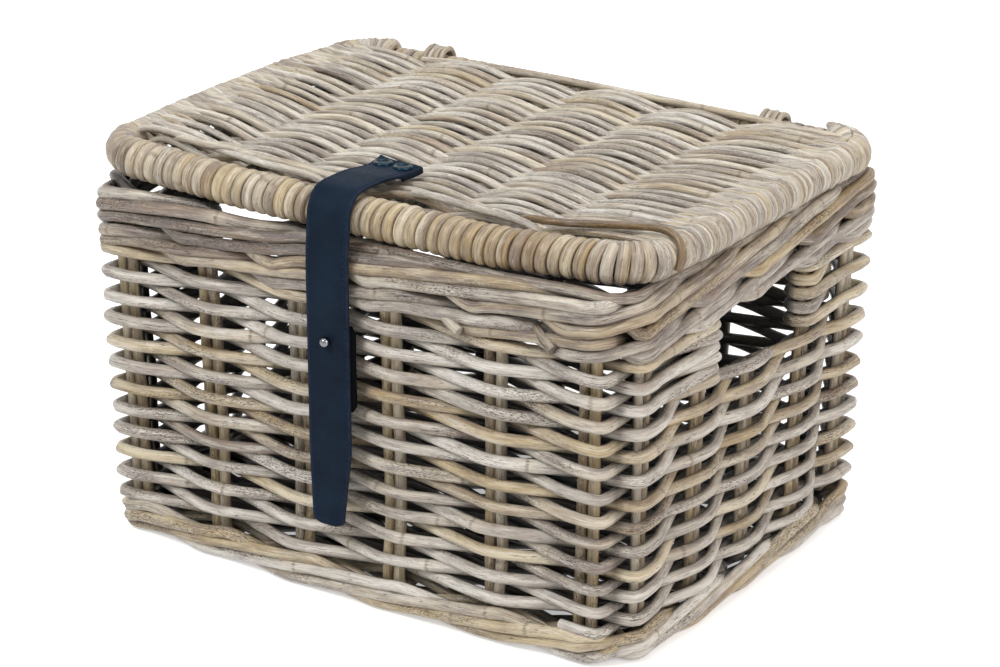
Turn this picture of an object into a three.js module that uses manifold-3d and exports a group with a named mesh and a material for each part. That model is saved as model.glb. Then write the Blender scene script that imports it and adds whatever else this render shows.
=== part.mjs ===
import * as THREE from 'three';
import { mergeVertices } from 'three/addons/utils/BufferGeometryUtils.js';
import Module from 'manifold-3d';

// Overall sizes in millimetres: +Z is up, the front wall faces -Y, the foot stands on z = 0
const BODY_LENGTH = 450;
const BODY_DEPTH = 344;
const RIM_HEIGHT = 252;
const FLARE = 7.5;
const WALL_REACH = 14;
const GAP = 0.25;
const SET_BACK = 4.075;

// Wall stakes in pairs, and the weavers that pass them
const FRONT_PAIRS = 6;
const SIDE_PAIRS = 5;
const STAKE_DIA = 8;
const WEAVER_DIA = 7.7;
const CORNER_INSET = 25;
const BEND = 8;
const FIRST_ROW = 27;
const ROW_PITCH = 8.2;
const PANEL_ROWS = 5;

// Borders at the rim and at the foot
const WALE_DIA = 8.1;
const WALE_RISE = 10.5;
const RIM_ROD_DIA = 9.4;
const FOOT_DIA = 9.6;
const BORDER_DIA = 9;

// Weave of the base
const BASE_DIA = 6;
const BASE_ROWS = 5;

// Lid: frame rod, stakes, weave and flat cane bindings
const LID_OVERHANG = 1;
const LID_SET_IN = 14;
const LID_SEAT = 20;
const LID_CORNER = 26;
const LID_ROD_DIA = 20;
const LID_STAKES = 6;
const LID_STAKE_DIA = 9;
const LID_STAKE_EDGE = 52;
const LID_STAKE_RISE = 3;
const LID_CANE_DIA = 5.6;
const LID_PITCH = 6.2;
const LID_FRONT_ROWS = 6;
const BINDING_WIDE = 9.4;
const BINDING_THICK = 3.8;
const BINDING_PITCH = 10;

// Hinge lashings round the back rod of the lid and the rim
const LASH_DIA = 4;
const LASH_TURNS = 4;
const LASH_INSET = 83.5;

// Leather strap with its rivets, tab and ball stud
const STRAP_X = -4.5;
const STRAP_WIDE = 32;
const STRAP_THICK = 3;
const STRAP_ON_LID = 60;
const STRAP_TIP_Z = 58;
const STRAP_SPLIT = 10;
const RIVET_X = 8;
const RIVET_DIA = 2.9;
const TAB_THICK = 2.5;
const TAB_TALL = 60;
const STUD_DIA = 7.2;

// Sizes that follow from those above
const STATIONS = 2 * (FRONT_PAIRS + SIDE_PAIRS);
const PAIR_HALF = (STAKE_DIA + GAP) / 2;
const CLEAR = (STAKE_DIA + WEAVER_DIA) / 2 + GAP;
const BASE_Z = FOOT_DIA + GAP + STAKE_DIA / 2;
const CROSS_Z = BASE_Z + STAKE_DIA + GAP;
const STUD_GAP = RIVET_DIA + 2 * GAP;
const RIM_TWIST = (RIM_ROD_DIA / 2 + GAP) / Math.cos(Math.PI / 6);
const RIM_REACH = RIM_TWIST + RIM_ROD_DIA / 2;
const RIM_Z = RIM_HEIGHT - RIM_REACH;
const STAKE_TOP = RIM_Z - RIM_REACH - GAP;
const WALE_Z = RIM_Z - RIM_REACH - LASH_DIA - 3 * GAP - WALE_DIA / 2;
const STUD_STEP = WEAVER_DIA + STUD_GAP - ROW_PITCH;
const PANEL_Z = WALE_Z - WALE_RISE - ROW_PITCH * (PANEL_ROWS - 1) - STUD_STEP;
const SILL_Z = PANEL_Z - WEAVER_DIA - 2 * GAP;
const LOWER_ROWS = Math.round((SILL_Z - FIRST_ROW) / ROW_PITCH);
const LOWER_PITCH = (SILL_Z - FIRST_ROW) / LOWER_ROWS;
const LID_LENGTH = BODY_LENGTH + LID_OVERHANG;
const LID_DEPTH = BODY_DEPTH - LID_SET_IN;
const LID_Z = RIM_HEIGHT + LID_SEAT;
const HEX = Math.cos(Math.PI / 6);
const ROD_FLAT = LID_ROD_DIA / 2 * HEX;
const ROD_X = LID_LENGTH / 2 - ROD_FLAT - GAP - LID_CANE_DIA;
const ROD_Y = LID_DEPTH / 2 - ROD_FLAT - GAP - BINDING_THICK;
const BOUND = LID_ROD_DIA / 2 + (GAP + BINDING_THICK) / HEX;
const LID_STAKE_Z = LID_Z + LID_STAKE_RISE;
const LID_STAKE_PITCH = 2 * (ROD_X - LID_STAKE_EDGE) / (LID_STAKES - 1);
const LID_CLEAR = (LID_STAKE_DIA + LID_CANE_DIA) / 2 + GAP;
const LID_CREST = crest(LID_STAKE_PITCH, 0, LID_CLEAR);
const LID_TOP = LID_STAKE_Z + LID_CREST + LID_CANE_DIA / 2;
const LASH_REACH = BOUND + GAP + LASH_DIA / 2;
const LASH_X = LID_LENGTH / 2 - LASH_INSET;
const WALL_FACE = wallY(RIM_Z) + station(0, RIM_Z).rise + WALE_DIA / 2;
const STRAP_FACE = WALL_FACE + TAB_THICK;
const STRAP_SPLIT_Z = LID_Z - STRAP_SPLIT;

// Height of a crest that lets a zigzag cane pass a pair of stakes with the clearance asked for
function crest(pitch, half, clear) {
  const free = pitch - 2 * half;
  return clear * pitch / Math.sqrt(free * free - 4 * clear * clear);
}

function point(x, y, z) {
  return new THREE.Vector3(x, y, z);
}

// A path that goes straight from point to point, its section kept turned to a given direction
class CanePath extends THREE.Curve {
  constructor(points, facing, across) {
    super();
    this.points = points;
    this.facing = facing;
    this.across = across;
  }

  getPoint(t) {
    const last = this.points.length - 1;
    const i = Math.min(Math.floor(t * last + 1e-6), last - 1);
    return this.points[i].clone().lerp(this.points[i + 1], t * last - i);
  }

  getPointAt(u) {
    return this.getPoint(u);
  }

  computeFrenetFrames(steps) {
    const frames = { tangents: [], normals: [], binormals: [] };
    for (let i = 0; i <= steps; i += 1) {
      const here = this.points[i];
      const before = here.clone().sub(this.points[Math.max(i - 1, 0)]).normalize();
      const after = this.points[Math.min(i + 1, steps)].clone().sub(here).normalize();
      const tangent = before.add(after).normalize();
      const facing = this.facing(i);
      const normal = facing.clone().addScaledVector(tangent, -facing.dot(tangent)).normalize();
      frames.tangents.push(tangent);
      frames.normals.push(normal);
      frames.binormals.push(this.across ?? tangent.clone().cross(normal));
    }
    return frames;
  }
}

function polygon(sides, radius, start) {
  const corners = [];
  for (let i = 0; i < sides; i += 1) {
    const angle = start + 2 * Math.PI * i / sides;
    corners.push(new THREE.Vector2(radius * Math.cos(angle), radius * Math.sin(angle)));
  }
  return new THREE.Shape(corners);
}

function rectangle(high, wide) {
  const shape = new THREE.Shape();
  shape.moveTo(-high / 2, -wide / 2);
  shape.lineTo(high / 2, -wide / 2);
  shape.lineTo(high / 2, wide / 2);
  shape.lineTo(-high / 2, wide / 2);
  shape.closePath();
  return shape;
}

function upward() {
  return point(0, 0, 1);
}

function sweep(points, section, facing = upward, across = undefined) {
  const extrudePath = new CanePath(points, facing, across);
  return new THREE.ExtrudeGeometry(section, { steps: points.length - 1, extrudePath });
}

// Walls: a stake station every pitch round the basket, counted from the left of the front wall
function wallX(z) {
  return BODY_LENGTH / 2 - WALL_REACH - FLARE * (1 - z / RIM_HEIGHT);
}

function wallY(z) {
  return BODY_DEPTH / 2 - WALL_REACH - FLARE * (1 - z / RIM_HEIGHT);
}

function station(index, z) {
  const k = (index + STATIONS) % STATIONS;
  const i = k % (STATIONS / 2);
  const facesFront = i < FRONT_PAIRS;
  const count = facesFront ? FRONT_PAIRS : SIDE_PAIRS;
  const place = facesFront ? i : i - FRONT_PAIRS;
  const turned = k >= STATIONS / 2 ? -1 : 1;
  const span = (facesFront ? wallX(z) : wallY(z)) - CORNER_INSET;
  const shift = span * (2 * place / (count - 1) - 1);
  const at = facesFront ? point(shift, -wallY(z), z) : point(wallX(z), shift, z);
  at.multiply(point(turned, turned, 1));
  const along = facesFront ? point(turned, 0, 0) : point(0, turned, 0);
  const out = facesFront ? point(0, -turned, 0) : point(turned, 0, 0);
  const corner = Number(place === count - 1) - Number(place === 0);
  const rise = crest(2 * span / (count - 1), PAIR_HALF, CLEAR);
  return { at, along, out, corner, rise };
}

function spot(where, u, v) {
  return where.at.clone().addScaledVector(where.along, u).addScaledVector(where.out, v);
}

// One weaver passing one pair of stakes; outside a corner pair it also turns the corner
function passing(index, outside, z) {
  const where = station(index, z);
  if (!outside) return [spot(where, 0, -where.rise)];
  if (where.corner === 0) return [spot(where, 0, where.rise)];
  const points = [];
  points.push(spot(where, -where.corner * PAIR_HALF, where.rise));
  points.push(spot(where, where.corner * (PAIR_HALF + CLEAR), CLEAR));
  return where.corner > 0 ? points : points.reverse();
}

// Two weavers climb the wall together, each in two lengths of cane that meet halfway between two stakes
function spiral(first, from, to) {
  const points = [];
  for (let step = from; step <= to; step += 1) {
    const z = FIRST_ROW + 2 * LOWER_PITCH * step / STATIONS;
    points.push(...passing(first + step, step % 2 === 0, z));
  }
  return points;
}

function buttEnd(end, next) {
  const along = next.clone().sub(end);
  return end.clone().addScaledVector(along, 0.5 - GAP / 2 / along.length());
}

function lowerWeavers(first) {
  const last = STATIONS * LOWER_ROWS / 2;
  const split = Math.floor(last / 2);
  const lower = spiral(first, 0, split);
  const upper = spiral(first, split + 1, last);
  const end = lower[lower.length - 1];
  const start = upper[0];
  return [[...lower, buttEnd(end, start)], [buttEnd(start, end), ...upper]];
}

// Rows beside the handle openings: the weaver turns back round the last pair of each row
function panelRow(row) {
  return PANEL_Z + ROW_PITCH * row + (row > 1 ? STUD_STEP : 0);
}

function turnBack(index, side, outside, low, high) {
  const radius = CLEAR / Math.cos(Math.PI / 6);
  const start = outside ? 1 : -1;
  return [1, 0, -1].map((turn) => {
    const z = low + (high - low) * (2 - turn) / 4;
    const angle = start * turn * Math.PI / 3;
    const u = side * (PAIR_HALF + radius * Math.cos(angle));
    return spot(station(index, z), u, radius * Math.sin(angle));
  });
}

function panel(first) {
  const count = FRONT_PAIRS + 4;
  const points = [];
  for (let row = 0; row < PANEL_ROWS; row += 1) {
    const forward = row % 2 === 0;
    const pass = [];
    for (let place = 0; place < count; place += 1) {
      pass.push(...passing(first + place, (place + row + LOWER_ROWS) % 2 === 0, panelRow(row)));
    }
    points.push(...(forward ? pass : pass.reverse()));
    const end = forward ? count - 1 : 0;
    const outside = (end + row + LOWER_ROWS) % 2 === 0;
    const turn = turnBack(first + end, forward ? 1 : -1, outside, panelRow(row), panelRow(row + 1));
    if (row < PANEL_ROWS - 1) points.push(...turn);
  }
  return points;
}

function wale(first, z) {
  const points = [];
  for (let step = 0; step < STATIONS; step += 1) points.push(...passing(first + step, step % 3 > 0, z));
  const last = points[points.length - 1];
  points.push(last.clone().lerp(points[0], 0.8));
  return points;
}

// Stakes run down one wall, through the base and up the opposite wall
function leg(index, side, base, top) {
  const high = spot(station(index, top), side * PAIR_HALF, 0);
  const low = spot(station(index, base + BEND), side * PAIR_HALF, 0);
  const foot = low.clone().addScaledVector(station(index, base).out, -BEND);
  foot.z = base;
  return [high, low, foot];
}

function throughStake(first, opposite, side, base, top) {
  return [...leg(first, side, base, top), ...leg(opposite, -side, base, top).reverse()];
}

// Rings: a rounded rectangle that starts and ends at the middle of the back
function ring(halfX, halfY, radius) {
  const path = new THREE.Path();
  const x = halfX - radius;
  const y = halfY - radius;
  path.moveTo(-GAP, halfY);
  path.lineTo(-x, halfY);
  path.absarc(-x, y, radius, Math.PI / 2, Math.PI);
  path.lineTo(-halfX, -y);
  path.absarc(-x, -y, radius, Math.PI, Math.PI * 1.5);
  path.lineTo(x, -halfY);
  path.absarc(x, -y, radius, -Math.PI / 2, 0);
  path.lineTo(halfX, y);
  path.absarc(x, y, radius, 0, Math.PI / 2);
  path.lineTo(GAP, halfY);
  return path;
}

function level(path, z) {
  return path.getPoints(2).map((p) => point(p.x, p.y, z));
}

// Rolled rim: two rods twist half a turn from stake to stake, so that one of them sits on each stake
function rimCentre(t) {
  const k = Math.floor(t);
  const f = t - k;
  const here = station(k, RIM_Z);
  const next = station(k + 1, RIM_Z);
  const out = here.out.clone().lerp(next.out, f).normalize();
  const elbow = here.at.clone().lerp(next.at, 0.5);
  if (here.corner > 0) elbow.copy(spot(here, CORNER_INSET, 0));
  const first = here.at.clone().lerp(elbow, f);
  const second = elbow.clone().lerp(next.at, f);
  return { at: first.lerp(second, f), out };
}

function rimRod(phase) {
  const points = [];
  for (let i = 0; i <= 3 * STATIONS; i += 1) {
    const t = Math.min(i / 3, STATIONS - 0.03);
    const centre = rimCentre(t + STATIONS / 2 + 3);
    const angle = phase + Math.PI * t;
    const spotOut = centre.at.addScaledVector(centre.out, RIM_TWIST * Math.sin(angle));
    points.push(spotOut.setZ(RIM_Z - RIM_TWIST * Math.cos(angle)));
  }
  return points;
}

function borderRod() {
  const z = FOOT_DIA + BORDER_DIA / 2 - 0.6;
  const reach = (STAKE_DIA + BORDER_DIA) / 2 + GAP;
  const out = reach * Math.SQRT2 - (BASE_Z + BEND - z);
  return level(ring(wallX(0) + out, wallY(0) + out, CORNER_INSET), z);
}

// A cane laid to and fro over and under a row of bars, wrapped round the last bar at both ends
function serpentine(rows, bars, z, rise, wrap) {
  const points = [];
  rows.forEach((y, row) => {
    const forward = row % 2 === 0;
    const pass = bars.map((x, bar) => point(x, y, z + ((row + bar) % 2 === 0 ? rise : -rise)));
    points.push(...(forward ? pass : pass.reverse()));
    if (row < rows.length - 1) points.push(...wrap(forward ? 1 : -1, y, rows[row + 1]));
  });
  return points;
}

// Base: thin weavers between the side-to-side stakes, round the front-to-back stakes
function baseWrap(bars) {
  const clear = (STAKE_DIA + BASE_DIA) / 2 + GAP;
  const radius = clear / Math.cos(Math.PI / 6);
  const edge = bars[bars.length - 1] + PAIR_HALF;
  return (side, from, to) => [-1, 0, 1].map((turn) => {
    const angle = turn * Math.PI / 3;
    const y = from + (to - from) * (turn + 2) / 4;
    return point(side * (edge + radius * Math.cos(angle)), y, BASE_Z + radius * Math.sin(angle));
  });
}

function baseWeave(group) {
  const bars = [];
  for (let i = 0; i < FRONT_PAIRS; i += 1) bars.push(station(i, BASE_Z).at.x);
  const edge = PAIR_HALF + STAKE_DIA / 2 + BASE_DIA / 2;
  const low = station(FRONT_PAIRS + group, CROSS_Z).at.y + edge;
  const high = station(FRONT_PAIRS + group + 1, CROSS_Z).at.y - edge;
  const rows = [];
  for (let i = 0; i < BASE_ROWS; i += 1) rows.push(low + (high - low) * i / (BASE_ROWS - 1));
  const rise = crest(bars[1] - bars[0], PAIR_HALF, (STAKE_DIA + BASE_DIA) / 2 + GAP);
  return serpentine(rows, bars, BASE_Z, rise, baseWrap(bars));
}

// Lid weave: a slightly wider step is left for the rivets of the strap
function lidBars() {
  const bars = [];
  for (let i = 0; i < LID_STAKES; i += 1) bars.push((i - (LID_STAKES - 1) / 2) * LID_STAKE_PITCH);
  return bars;
}

function lidWrap(side, from, to) {
  const radius = LID_ROD_DIA / 2 + (GAP + LID_CANE_DIA / 2) / HEX;
  return [3, 1, -1, -3].map((turn) => {
    const angle = turn * Math.PI / 6;
    const y = from + (to - from) * (3 - turn) / 6;
    return point(side * (ROD_X + radius * Math.cos(angle)), y, LID_Z + radius * Math.sin(angle));
  });
}

const LID_FIRST = -ROD_Y + ROD_FLAT + BINDING_THICK + 2 * GAP + LID_CANE_DIA / 2 + 0.5;
const RIVET_Y = LID_FIRST + (LID_FRONT_ROWS - 1) * LID_PITCH + (LID_CANE_DIA + STUD_GAP) / 2;

function lidRows() {
  const rows = [];
  for (let i = 0; i < LID_FRONT_ROWS; i += 1) rows.push(LID_FIRST + i * LID_PITCH);
  const limit = ROD_Y - (LASH_REACH + LASH_DIA) / 0.94 - LID_CANE_DIA / 2;
  let y = RIVET_Y + (LID_CANE_DIA + STUD_GAP) / 2;
  while (y < limit) {
    rows.push(y);
    y += LID_PITCH;
  }
  return rows;
}

function lidWeave() {
  return serpentine(lidRows(), lidBars(), LID_STAKE_Z, -LID_CREST, lidWrap);
}

// A winding prints its least gap to itself, measured between the corners of rings half a turn or more apart
function winding(name, points, section, turnSteps, facing, across) {
  const path = new CanePath(points, facing, across);
  const frames = path.computeFrenetFrames(points.length - 1);
  const rings = points.map((centre, i) => section.getPoints().map((corner) => {
    const onNormal = centre.clone().addScaledVector(frames.normals[i], corner.x);
    return onNormal.addScaledVector(frames.binormals[i], corner.y);
  }));
  let least = Infinity;
  rings.forEach((ring, i) => {
    const others = rings.slice(i + Math.ceil(turnSteps / 2)).flat();
    ring.forEach((corner) => others.forEach((other) => {
      least = Math.min(least, corner.distanceTo(other));
    }));
  });
  console.log(`${name}: least gap to itself ${least.toFixed(2)} mm`);
  return sweep(points, section, facing, across);
}

// Flat cane wound round a straight rod of the lid frame, six steps to the turn
function binding(name, y, from, to, pitch, wide) {
  const radius = LID_ROD_DIA / 2 + (GAP + BINDING_THICK / 2) / HEX;
  const steps = Math.floor((to - from) / pitch) * 6;
  const points = [];
  const outward = [];
  for (let i = 0; i <= steps; i += 1) {
    const angle = Math.PI / 2 + Math.PI * i / 3;
    outward.push(point(0, Math.cos(angle), Math.sin(angle)));
    const x = from + (to - from) * i / steps;
    points.push(point(x, y + radius * Math.cos(angle), LID_Z + radius * Math.sin(angle)));
  }
  return winding(name, points, rectangle(BINDING_THICK, wide), 6, (i) => outward[i], point(-1, 0, 0));
}

// Hinge lashing: cane wound round the back rod of the lid and the rolled rim below it
function lashing(name, middle) {
  const low = new THREE.Vector2(wallY(RIM_Z), RIM_Z);
  const high = new THREE.Vector2(ROD_Y, LID_Z);
  const lowReach = RIM_REACH + GAP + LASH_DIA / 2;
  const axis = high.clone().sub(low);
  const lean = Math.asin((LASH_REACH - lowReach) / axis.length());
  const turn = [];
  const arc = (centre, reach, start, sweepAngle, count) => {
    const step = sweepAngle / (count - 1);
    for (let i = 0; i < count; i += 1) {
      const angle = start + step * i;
      const radius = reach / Math.cos(step / 2);
      turn.push(new THREE.Vector2(centre.x + radius * Math.cos(angle), centre.y + radius * Math.sin(angle)));
    }
  };
  const side = axis.angle() - Math.PI / 2 - lean;
  arc(high, LASH_REACH, side, Math.PI + 2 * lean, 6);
  arc(low, lowReach, side + Math.PI + 2 * lean, Math.PI - 2 * lean, 4);
  const points = [];
  for (let i = 0; i <= LASH_TURNS * turn.length; i += 1) {
    const p = turn[i % turn.length];
    const x = middle + (i / turn.length - LASH_TURNS / 2) * (LASH_DIA + 2 * GAP);
    points.push(point(x, p.x, p.y));
  }
  return winding(name, points, polygon(4, LASH_DIA / 2, 0), turn.length, () => point(1, 0, 0));
}

// Strap on the lid: along the weave, over the bound front rod, down to the hanging part
function strapPath() {
  const half = STRAP_THICK / 2;
  const radius = (BOUND + GAP + half) / Math.cos(Math.PI / 10);
  const points = [];
  points.push(point(0, STRAP_ON_LID - ROD_Y, LID_TOP + GAP + half));
  points.push(point(0, 12 - ROD_Y, LID_TOP + GAP + half));
  [5, 3, 1].forEach((turn) => {
    const angle = turn * Math.PI / 10;
    points.push(point(0, -ROD_Y - radius * Math.cos(angle), LID_Z + radius * Math.sin(angle)));
  });
  points.push(point(0, -STRAP_FACE - half, STRAP_SPLIT_Z + 5));
  points.push(point(0, -STRAP_FACE - half, STRAP_SPLIT_Z + GAP / 2));
  return points;
}

// A round hole as the path of a shape, and a plate that stands facing the front
function roundHole(x, y, radius) {
  const path = new THREE.Path();
  path.absarc(x, y, radius, 0, 2 * Math.PI, true);
  return path;
}

function frontPlate(shape, thick, face) {
  const geometry = new THREE.ExtrudeGeometry(shape, { depth: thick, bevelEnabled: false, curveSegments: 5 });
  geometry.rotateX(Math.PI / 2);
  geometry.translate(0, -face, 0);
  return geometry;
}

const STUD_Z = (panelRow(1) + panelRow(2)) / 2;

function strapTail() {
  const half = STRAP_WIDE / 2;
  const top = STRAP_SPLIT_Z - GAP / 2;
  const shape = new THREE.Shape();
  shape.moveTo(-half, top);
  shape.lineTo(-half, STRAP_TIP_Z + 48);
  shape.lineTo(-half + 3, STRAP_TIP_Z + 6);
  shape.quadraticCurveTo(-half + 4, STRAP_TIP_Z, -half + 9, STRAP_TIP_Z);
  shape.lineTo(half - 9, STRAP_TIP_Z);
  shape.quadraticCurveTo(half - 4, STRAP_TIP_Z, half - 3, STRAP_TIP_Z + 6);
  shape.lineTo(half, STRAP_TIP_Z + 48);
  shape.lineTo(half, top);
  shape.closePath();
  shape.holes.push(roundHole(0, STUD_Z, STUD_DIA / 2 + 2 * GAP));
  return frontPlate(shape, STRAP_THICK, STRAP_FACE);
}

function strapTab() {
  const half = STRAP_WIDE / 2;
  const shape = new THREE.Shape();
  shape.moveTo(-half, STUD_Z - TAB_TALL * 0.8);
  shape.lineTo(half, STUD_Z - TAB_TALL * 0.8);
  shape.lineTo(half, STUD_Z + TAB_TALL * 0.2);
  shape.lineTo(-half, STUD_Z + TAB_TALL * 0.2);
  shape.closePath();
  shape.holes.push(roundHole(0, STUD_Z, RIVET_DIA / 2 + GAP));
  return frontPlate(shape, TAB_THICK, STRAP_FACE - TAB_THICK - GAP);
}

// Turned metal pieces, drawn as a profile of radius and height
function turned(profile, sides) {
  return new THREE.LatheGeometry(profile.map(([r, h]) => new THREE.Vector2(r, h)), sides);
}

const INNER_FACE = wallY(STUD_Z) - station(0, STUD_Z).rise - WEAVER_DIA / 2;

function stud() {
  const pin = RIVET_DIA / 2;
  const ball = STUD_DIA / 2;
  const outer = STRAP_FACE + STRAP_THICK + ball * 0.5;
  const profile = [[0, INNER_FACE - 2.6], [pin, INNER_FACE - 2.6], [pin, STRAP_FACE - 0.1]];
  profile.push([ball * 0.55, STRAP_FACE - 0.1]);
  for (let i = 0; i <= 4; i += 1) {
    const angle = -Math.PI * 0.31 + Math.PI * 0.81 * i / 4;
    profile.push([i === 4 ? 0 : ball * Math.cos(angle), outer + ball * Math.sin(angle)]);
  }
  const geometry = turned(profile, 10);
  geometry.rotateX(Math.PI);
  geometry.translate(0, 0, STUD_Z);
  return geometry;
}

function studWasher() {
  const bore = RIVET_DIA / 2 + GAP;
  const high = INNER_FACE - GAP;
  const low = high - 1.6;
  const geometry = turned([[bore, low], [8, low], [8, high], [bore, high], [bore, low]], 10);
  geometry.rotateX(Math.PI);
  geometry.translate(0, 0, STUD_Z);
  return geometry;
}

const RIVET_SEAT = LID_TOP + GAP + STRAP_THICK;
const RIVET_FOOT = LID_STAKE_Z - LID_CREST - LID_CANE_DIA / 2 - GAP;

function rivet(x) {
  const pin = RIVET_DIA / 2;
  const top = RIVET_SEAT + GAP;
  const profile = [[0, RIVET_FOOT - 2.4], [pin, RIVET_FOOT - 2.4], [pin, top], [4.5, top]];
  profile.push([4.1, top + 1], [2.4, top + 1.8], [0, top + 2]);
  const geometry = turned(profile, 10);
  geometry.rotateX(Math.PI / 2);
  geometry.translate(x, RIVET_Y, 0);
  return geometry;
}

function rivetBurr(x) {
  const bore = RIVET_DIA / 2 + GAP;
  const low = RIVET_FOOT - 1.4;
  const profile = [[bore, low], [6, low], [6, RIVET_FOOT], [bore, RIVET_FOOT], [bore, low]];
  const geometry = turned(profile, 10);
  geometry.rotateX(Math.PI / 2);
  geometry.translate(x, RIVET_Y, 0);
  return geometry;
}

// Holes are cut with solids
const solids = await Module();
solids.setup();

function toSolid(geometry) {
  const plain = new THREE.BufferGeometry();
  plain.setAttribute('position', geometry.getAttribute('position'));
  if (geometry.index) plain.setIndex(geometry.index);
  const merged = mergeVertices(plain, 1e-4);
  const vertProperties = new Float32Array(merged.getAttribute('position').array);
  const triVerts = new Uint32Array(merged.index.array);
  return new solids.Manifold(new solids.Mesh({ numProp: 3, vertProperties, triVerts }));
}

function toGeometry(solid) {
  const mesh = solid.getMesh();
  const geometry = new THREE.BufferGeometry();
  geometry.setAttribute('position', new THREE.BufferAttribute(new Float32Array(mesh.vertProperties), 3));
  geometry.setIndex(new THREE.BufferAttribute(new Uint32Array(mesh.triVerts), 1));
  geometry.computeVertexNormals();
  return geometry;
}

// The strap and its metal sit a little left of the middle
function atStrap(geometry) {
  return geometry.translate(STRAP_X, 0, 0);
}

function strapUpper() {
  let strap = toSolid(sweep(strapPath(), rectangle(STRAP_THICK, STRAP_WIDE), () => point(0, -0.6, 0.8)));
  for (const x of [-RIVET_X, RIVET_X]) {
    const drill = new THREE.CylinderGeometry(RIVET_DIA / 2 + GAP, RIVET_DIA / 2 + GAP, 20, 10);
    drill.rotateX(Math.PI / 2);
    drill.translate(x, RIVET_Y, LID_TOP);
    strap = strap.subtract(toSolid(drill));
  }
  return toGeometry(strap);
}

// The assembly: every piece is a named mesh with its own material
const basket = new THREE.Group();

function add(name, geometry, color, rough, metal = 0) {
  const material = new THREE.MeshStandardMaterial({ color, roughness: rough, metalness: metal });
  const mesh = new THREE.Mesh(geometry, material);
  geometry.translate(0, SET_BACK, 0);
  mesh.name = name;
  basket.add(mesh);
}

const STAKE = polygon(5, STAKE_DIA / 2, 0);
const STAKE_TURNED = polygon(5, STAKE_DIA / 2, Math.PI);
const WEAVER = polygon(5, WEAVER_DIA / 2, 0);
const WALE = polygon(5, WALE_DIA / 2, 0);
const LID_CANE = polygon(4, LID_CANE_DIA / 2, 0);

for (let i = 0; i < FRONT_PAIRS; i += 1) {
  const opposite = STATIONS / 2 + FRONT_PAIRS - 1 - i;
  const left = throughStake(i, opposite, -1, BASE_Z, STAKE_TOP);
  const right = throughStake(i, opposite, 1, BASE_Z, STAKE_TOP);
  add(`long_stake_${i + 1}a`, sweep(left, STAKE, () => point(1, 0, 0)), 0xb59f7d, 0.7);
  add(`long_stake_${i + 1}b`, sweep(right, STAKE_TURNED, () => point(1, 0, 0)), 0xa9926f, 0.7);
}

for (let i = 0; i < SIDE_PAIRS; i += 1) {
  const opposite = STATIONS - 1 - i;
  const top = i === (SIDE_PAIRS - 1) / 2 ? SILL_Z : STAKE_TOP;
  const near = throughStake(FRONT_PAIRS + i, opposite, -1, CROSS_Z, top);
  const far = throughStake(FRONT_PAIRS + i, opposite, 1, CROSS_Z, top);
  add(`cross_stake_${i + 1}a`, sweep(near, STAKE, () => point(0, 1, 0)), 0xb59f7d, 0.7);
  add(`cross_stake_${i + 1}b`, sweep(far, STAKE_TURNED, () => point(0, 1, 0)), 0xa9926f, 0.7);
}

for (let i = 0; i < SIDE_PAIRS - 1; i += 1) {
  add(`base_weave_${i + 1}`, sweep(baseWeave(i), polygon(4, BASE_DIA / 2, 0)), 0xa48d6b, 0.75);
}

lowerWeavers(0).forEach((path, i) => {
  add(`lower_weaver_a${i + 1}`, sweep(path, WEAVER), 0xc2b190, 0.7);
});
lowerWeavers(STATIONS / 2).forEach((path, i) => {
  add(`lower_weaver_b${i + 1}`, sweep(path, WEAVER), 0xab9573, 0.7);
});
add('front_weaver', sweep(panel(STATIONS - 2), WEAVER), 0xbaa683, 0.7);
add('back_weaver', sweep(panel(STATIONS / 2 - 2), WEAVER), 0xbaa683, 0.7);
add('wale_rod', sweep(wale(STATIONS / 2 + 1, WALE_Z), WALE), 0xa08864, 0.7);
const RIM = polygon(5, RIM_ROD_DIA / 2, Math.PI);
add('rim_rod_a', sweep(rimRod(0), RIM), 0xb8a27d, 0.65);
add('rim_rod_b', sweep(rimRod(Math.PI), RIM), 0xa48c67, 0.65);

const footSection = polygon(8, FOOT_DIA / 2 / Math.cos(Math.PI / 8), Math.PI / 8);
const footPath = level(ring(wallX(0), wallY(0) - BEND - 2, CORNER_INSET), FOOT_DIA / 2);
add('foot_rod', sweep(footPath, footSection), 0x9a825f, 0.7);
add('border_rod', sweep(borderRod(), polygon(6, BORDER_DIA / 2, 0)), 0xaf9974, 0.7);

const framePath = level(ring(ROD_X, ROD_Y, LID_CORNER), LID_Z);
add('lid_frame', sweep(framePath, polygon(6, LID_ROD_DIA / 2, 0)), 0x9f8966, 0.7);
add('lid_weave', sweep(lidWeave(), LID_CANE), 0xbba988, 0.7);

const lidEnd = ROD_Y - ROD_FLAT - BINDING_THICK - 2 * GAP;
lidBars().forEach((x, i) => {
  const path = [point(x, -lidEnd, LID_STAKE_Z), point(x, lidEnd, LID_STAKE_Z)];
  add(`lid_stake_${i + 1}`, sweep(path, polygon(6, LID_STAKE_DIA / 2, 0)), 0xa8916d, 0.7);
});

const boundEnd = ROD_X - LID_CORNER;
const frontEnd = boundEnd - BINDING_WIDE / 2;
const frontSeam = BINDING_PITCH / 2;
const wideCane = BINDING_PITCH + BINDING_WIDE;
const backEnd = boundEnd - wideCane / 2;

function addWinding(name, make, color, rough) {
  add(name, make(name), color, rough);
}

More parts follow.
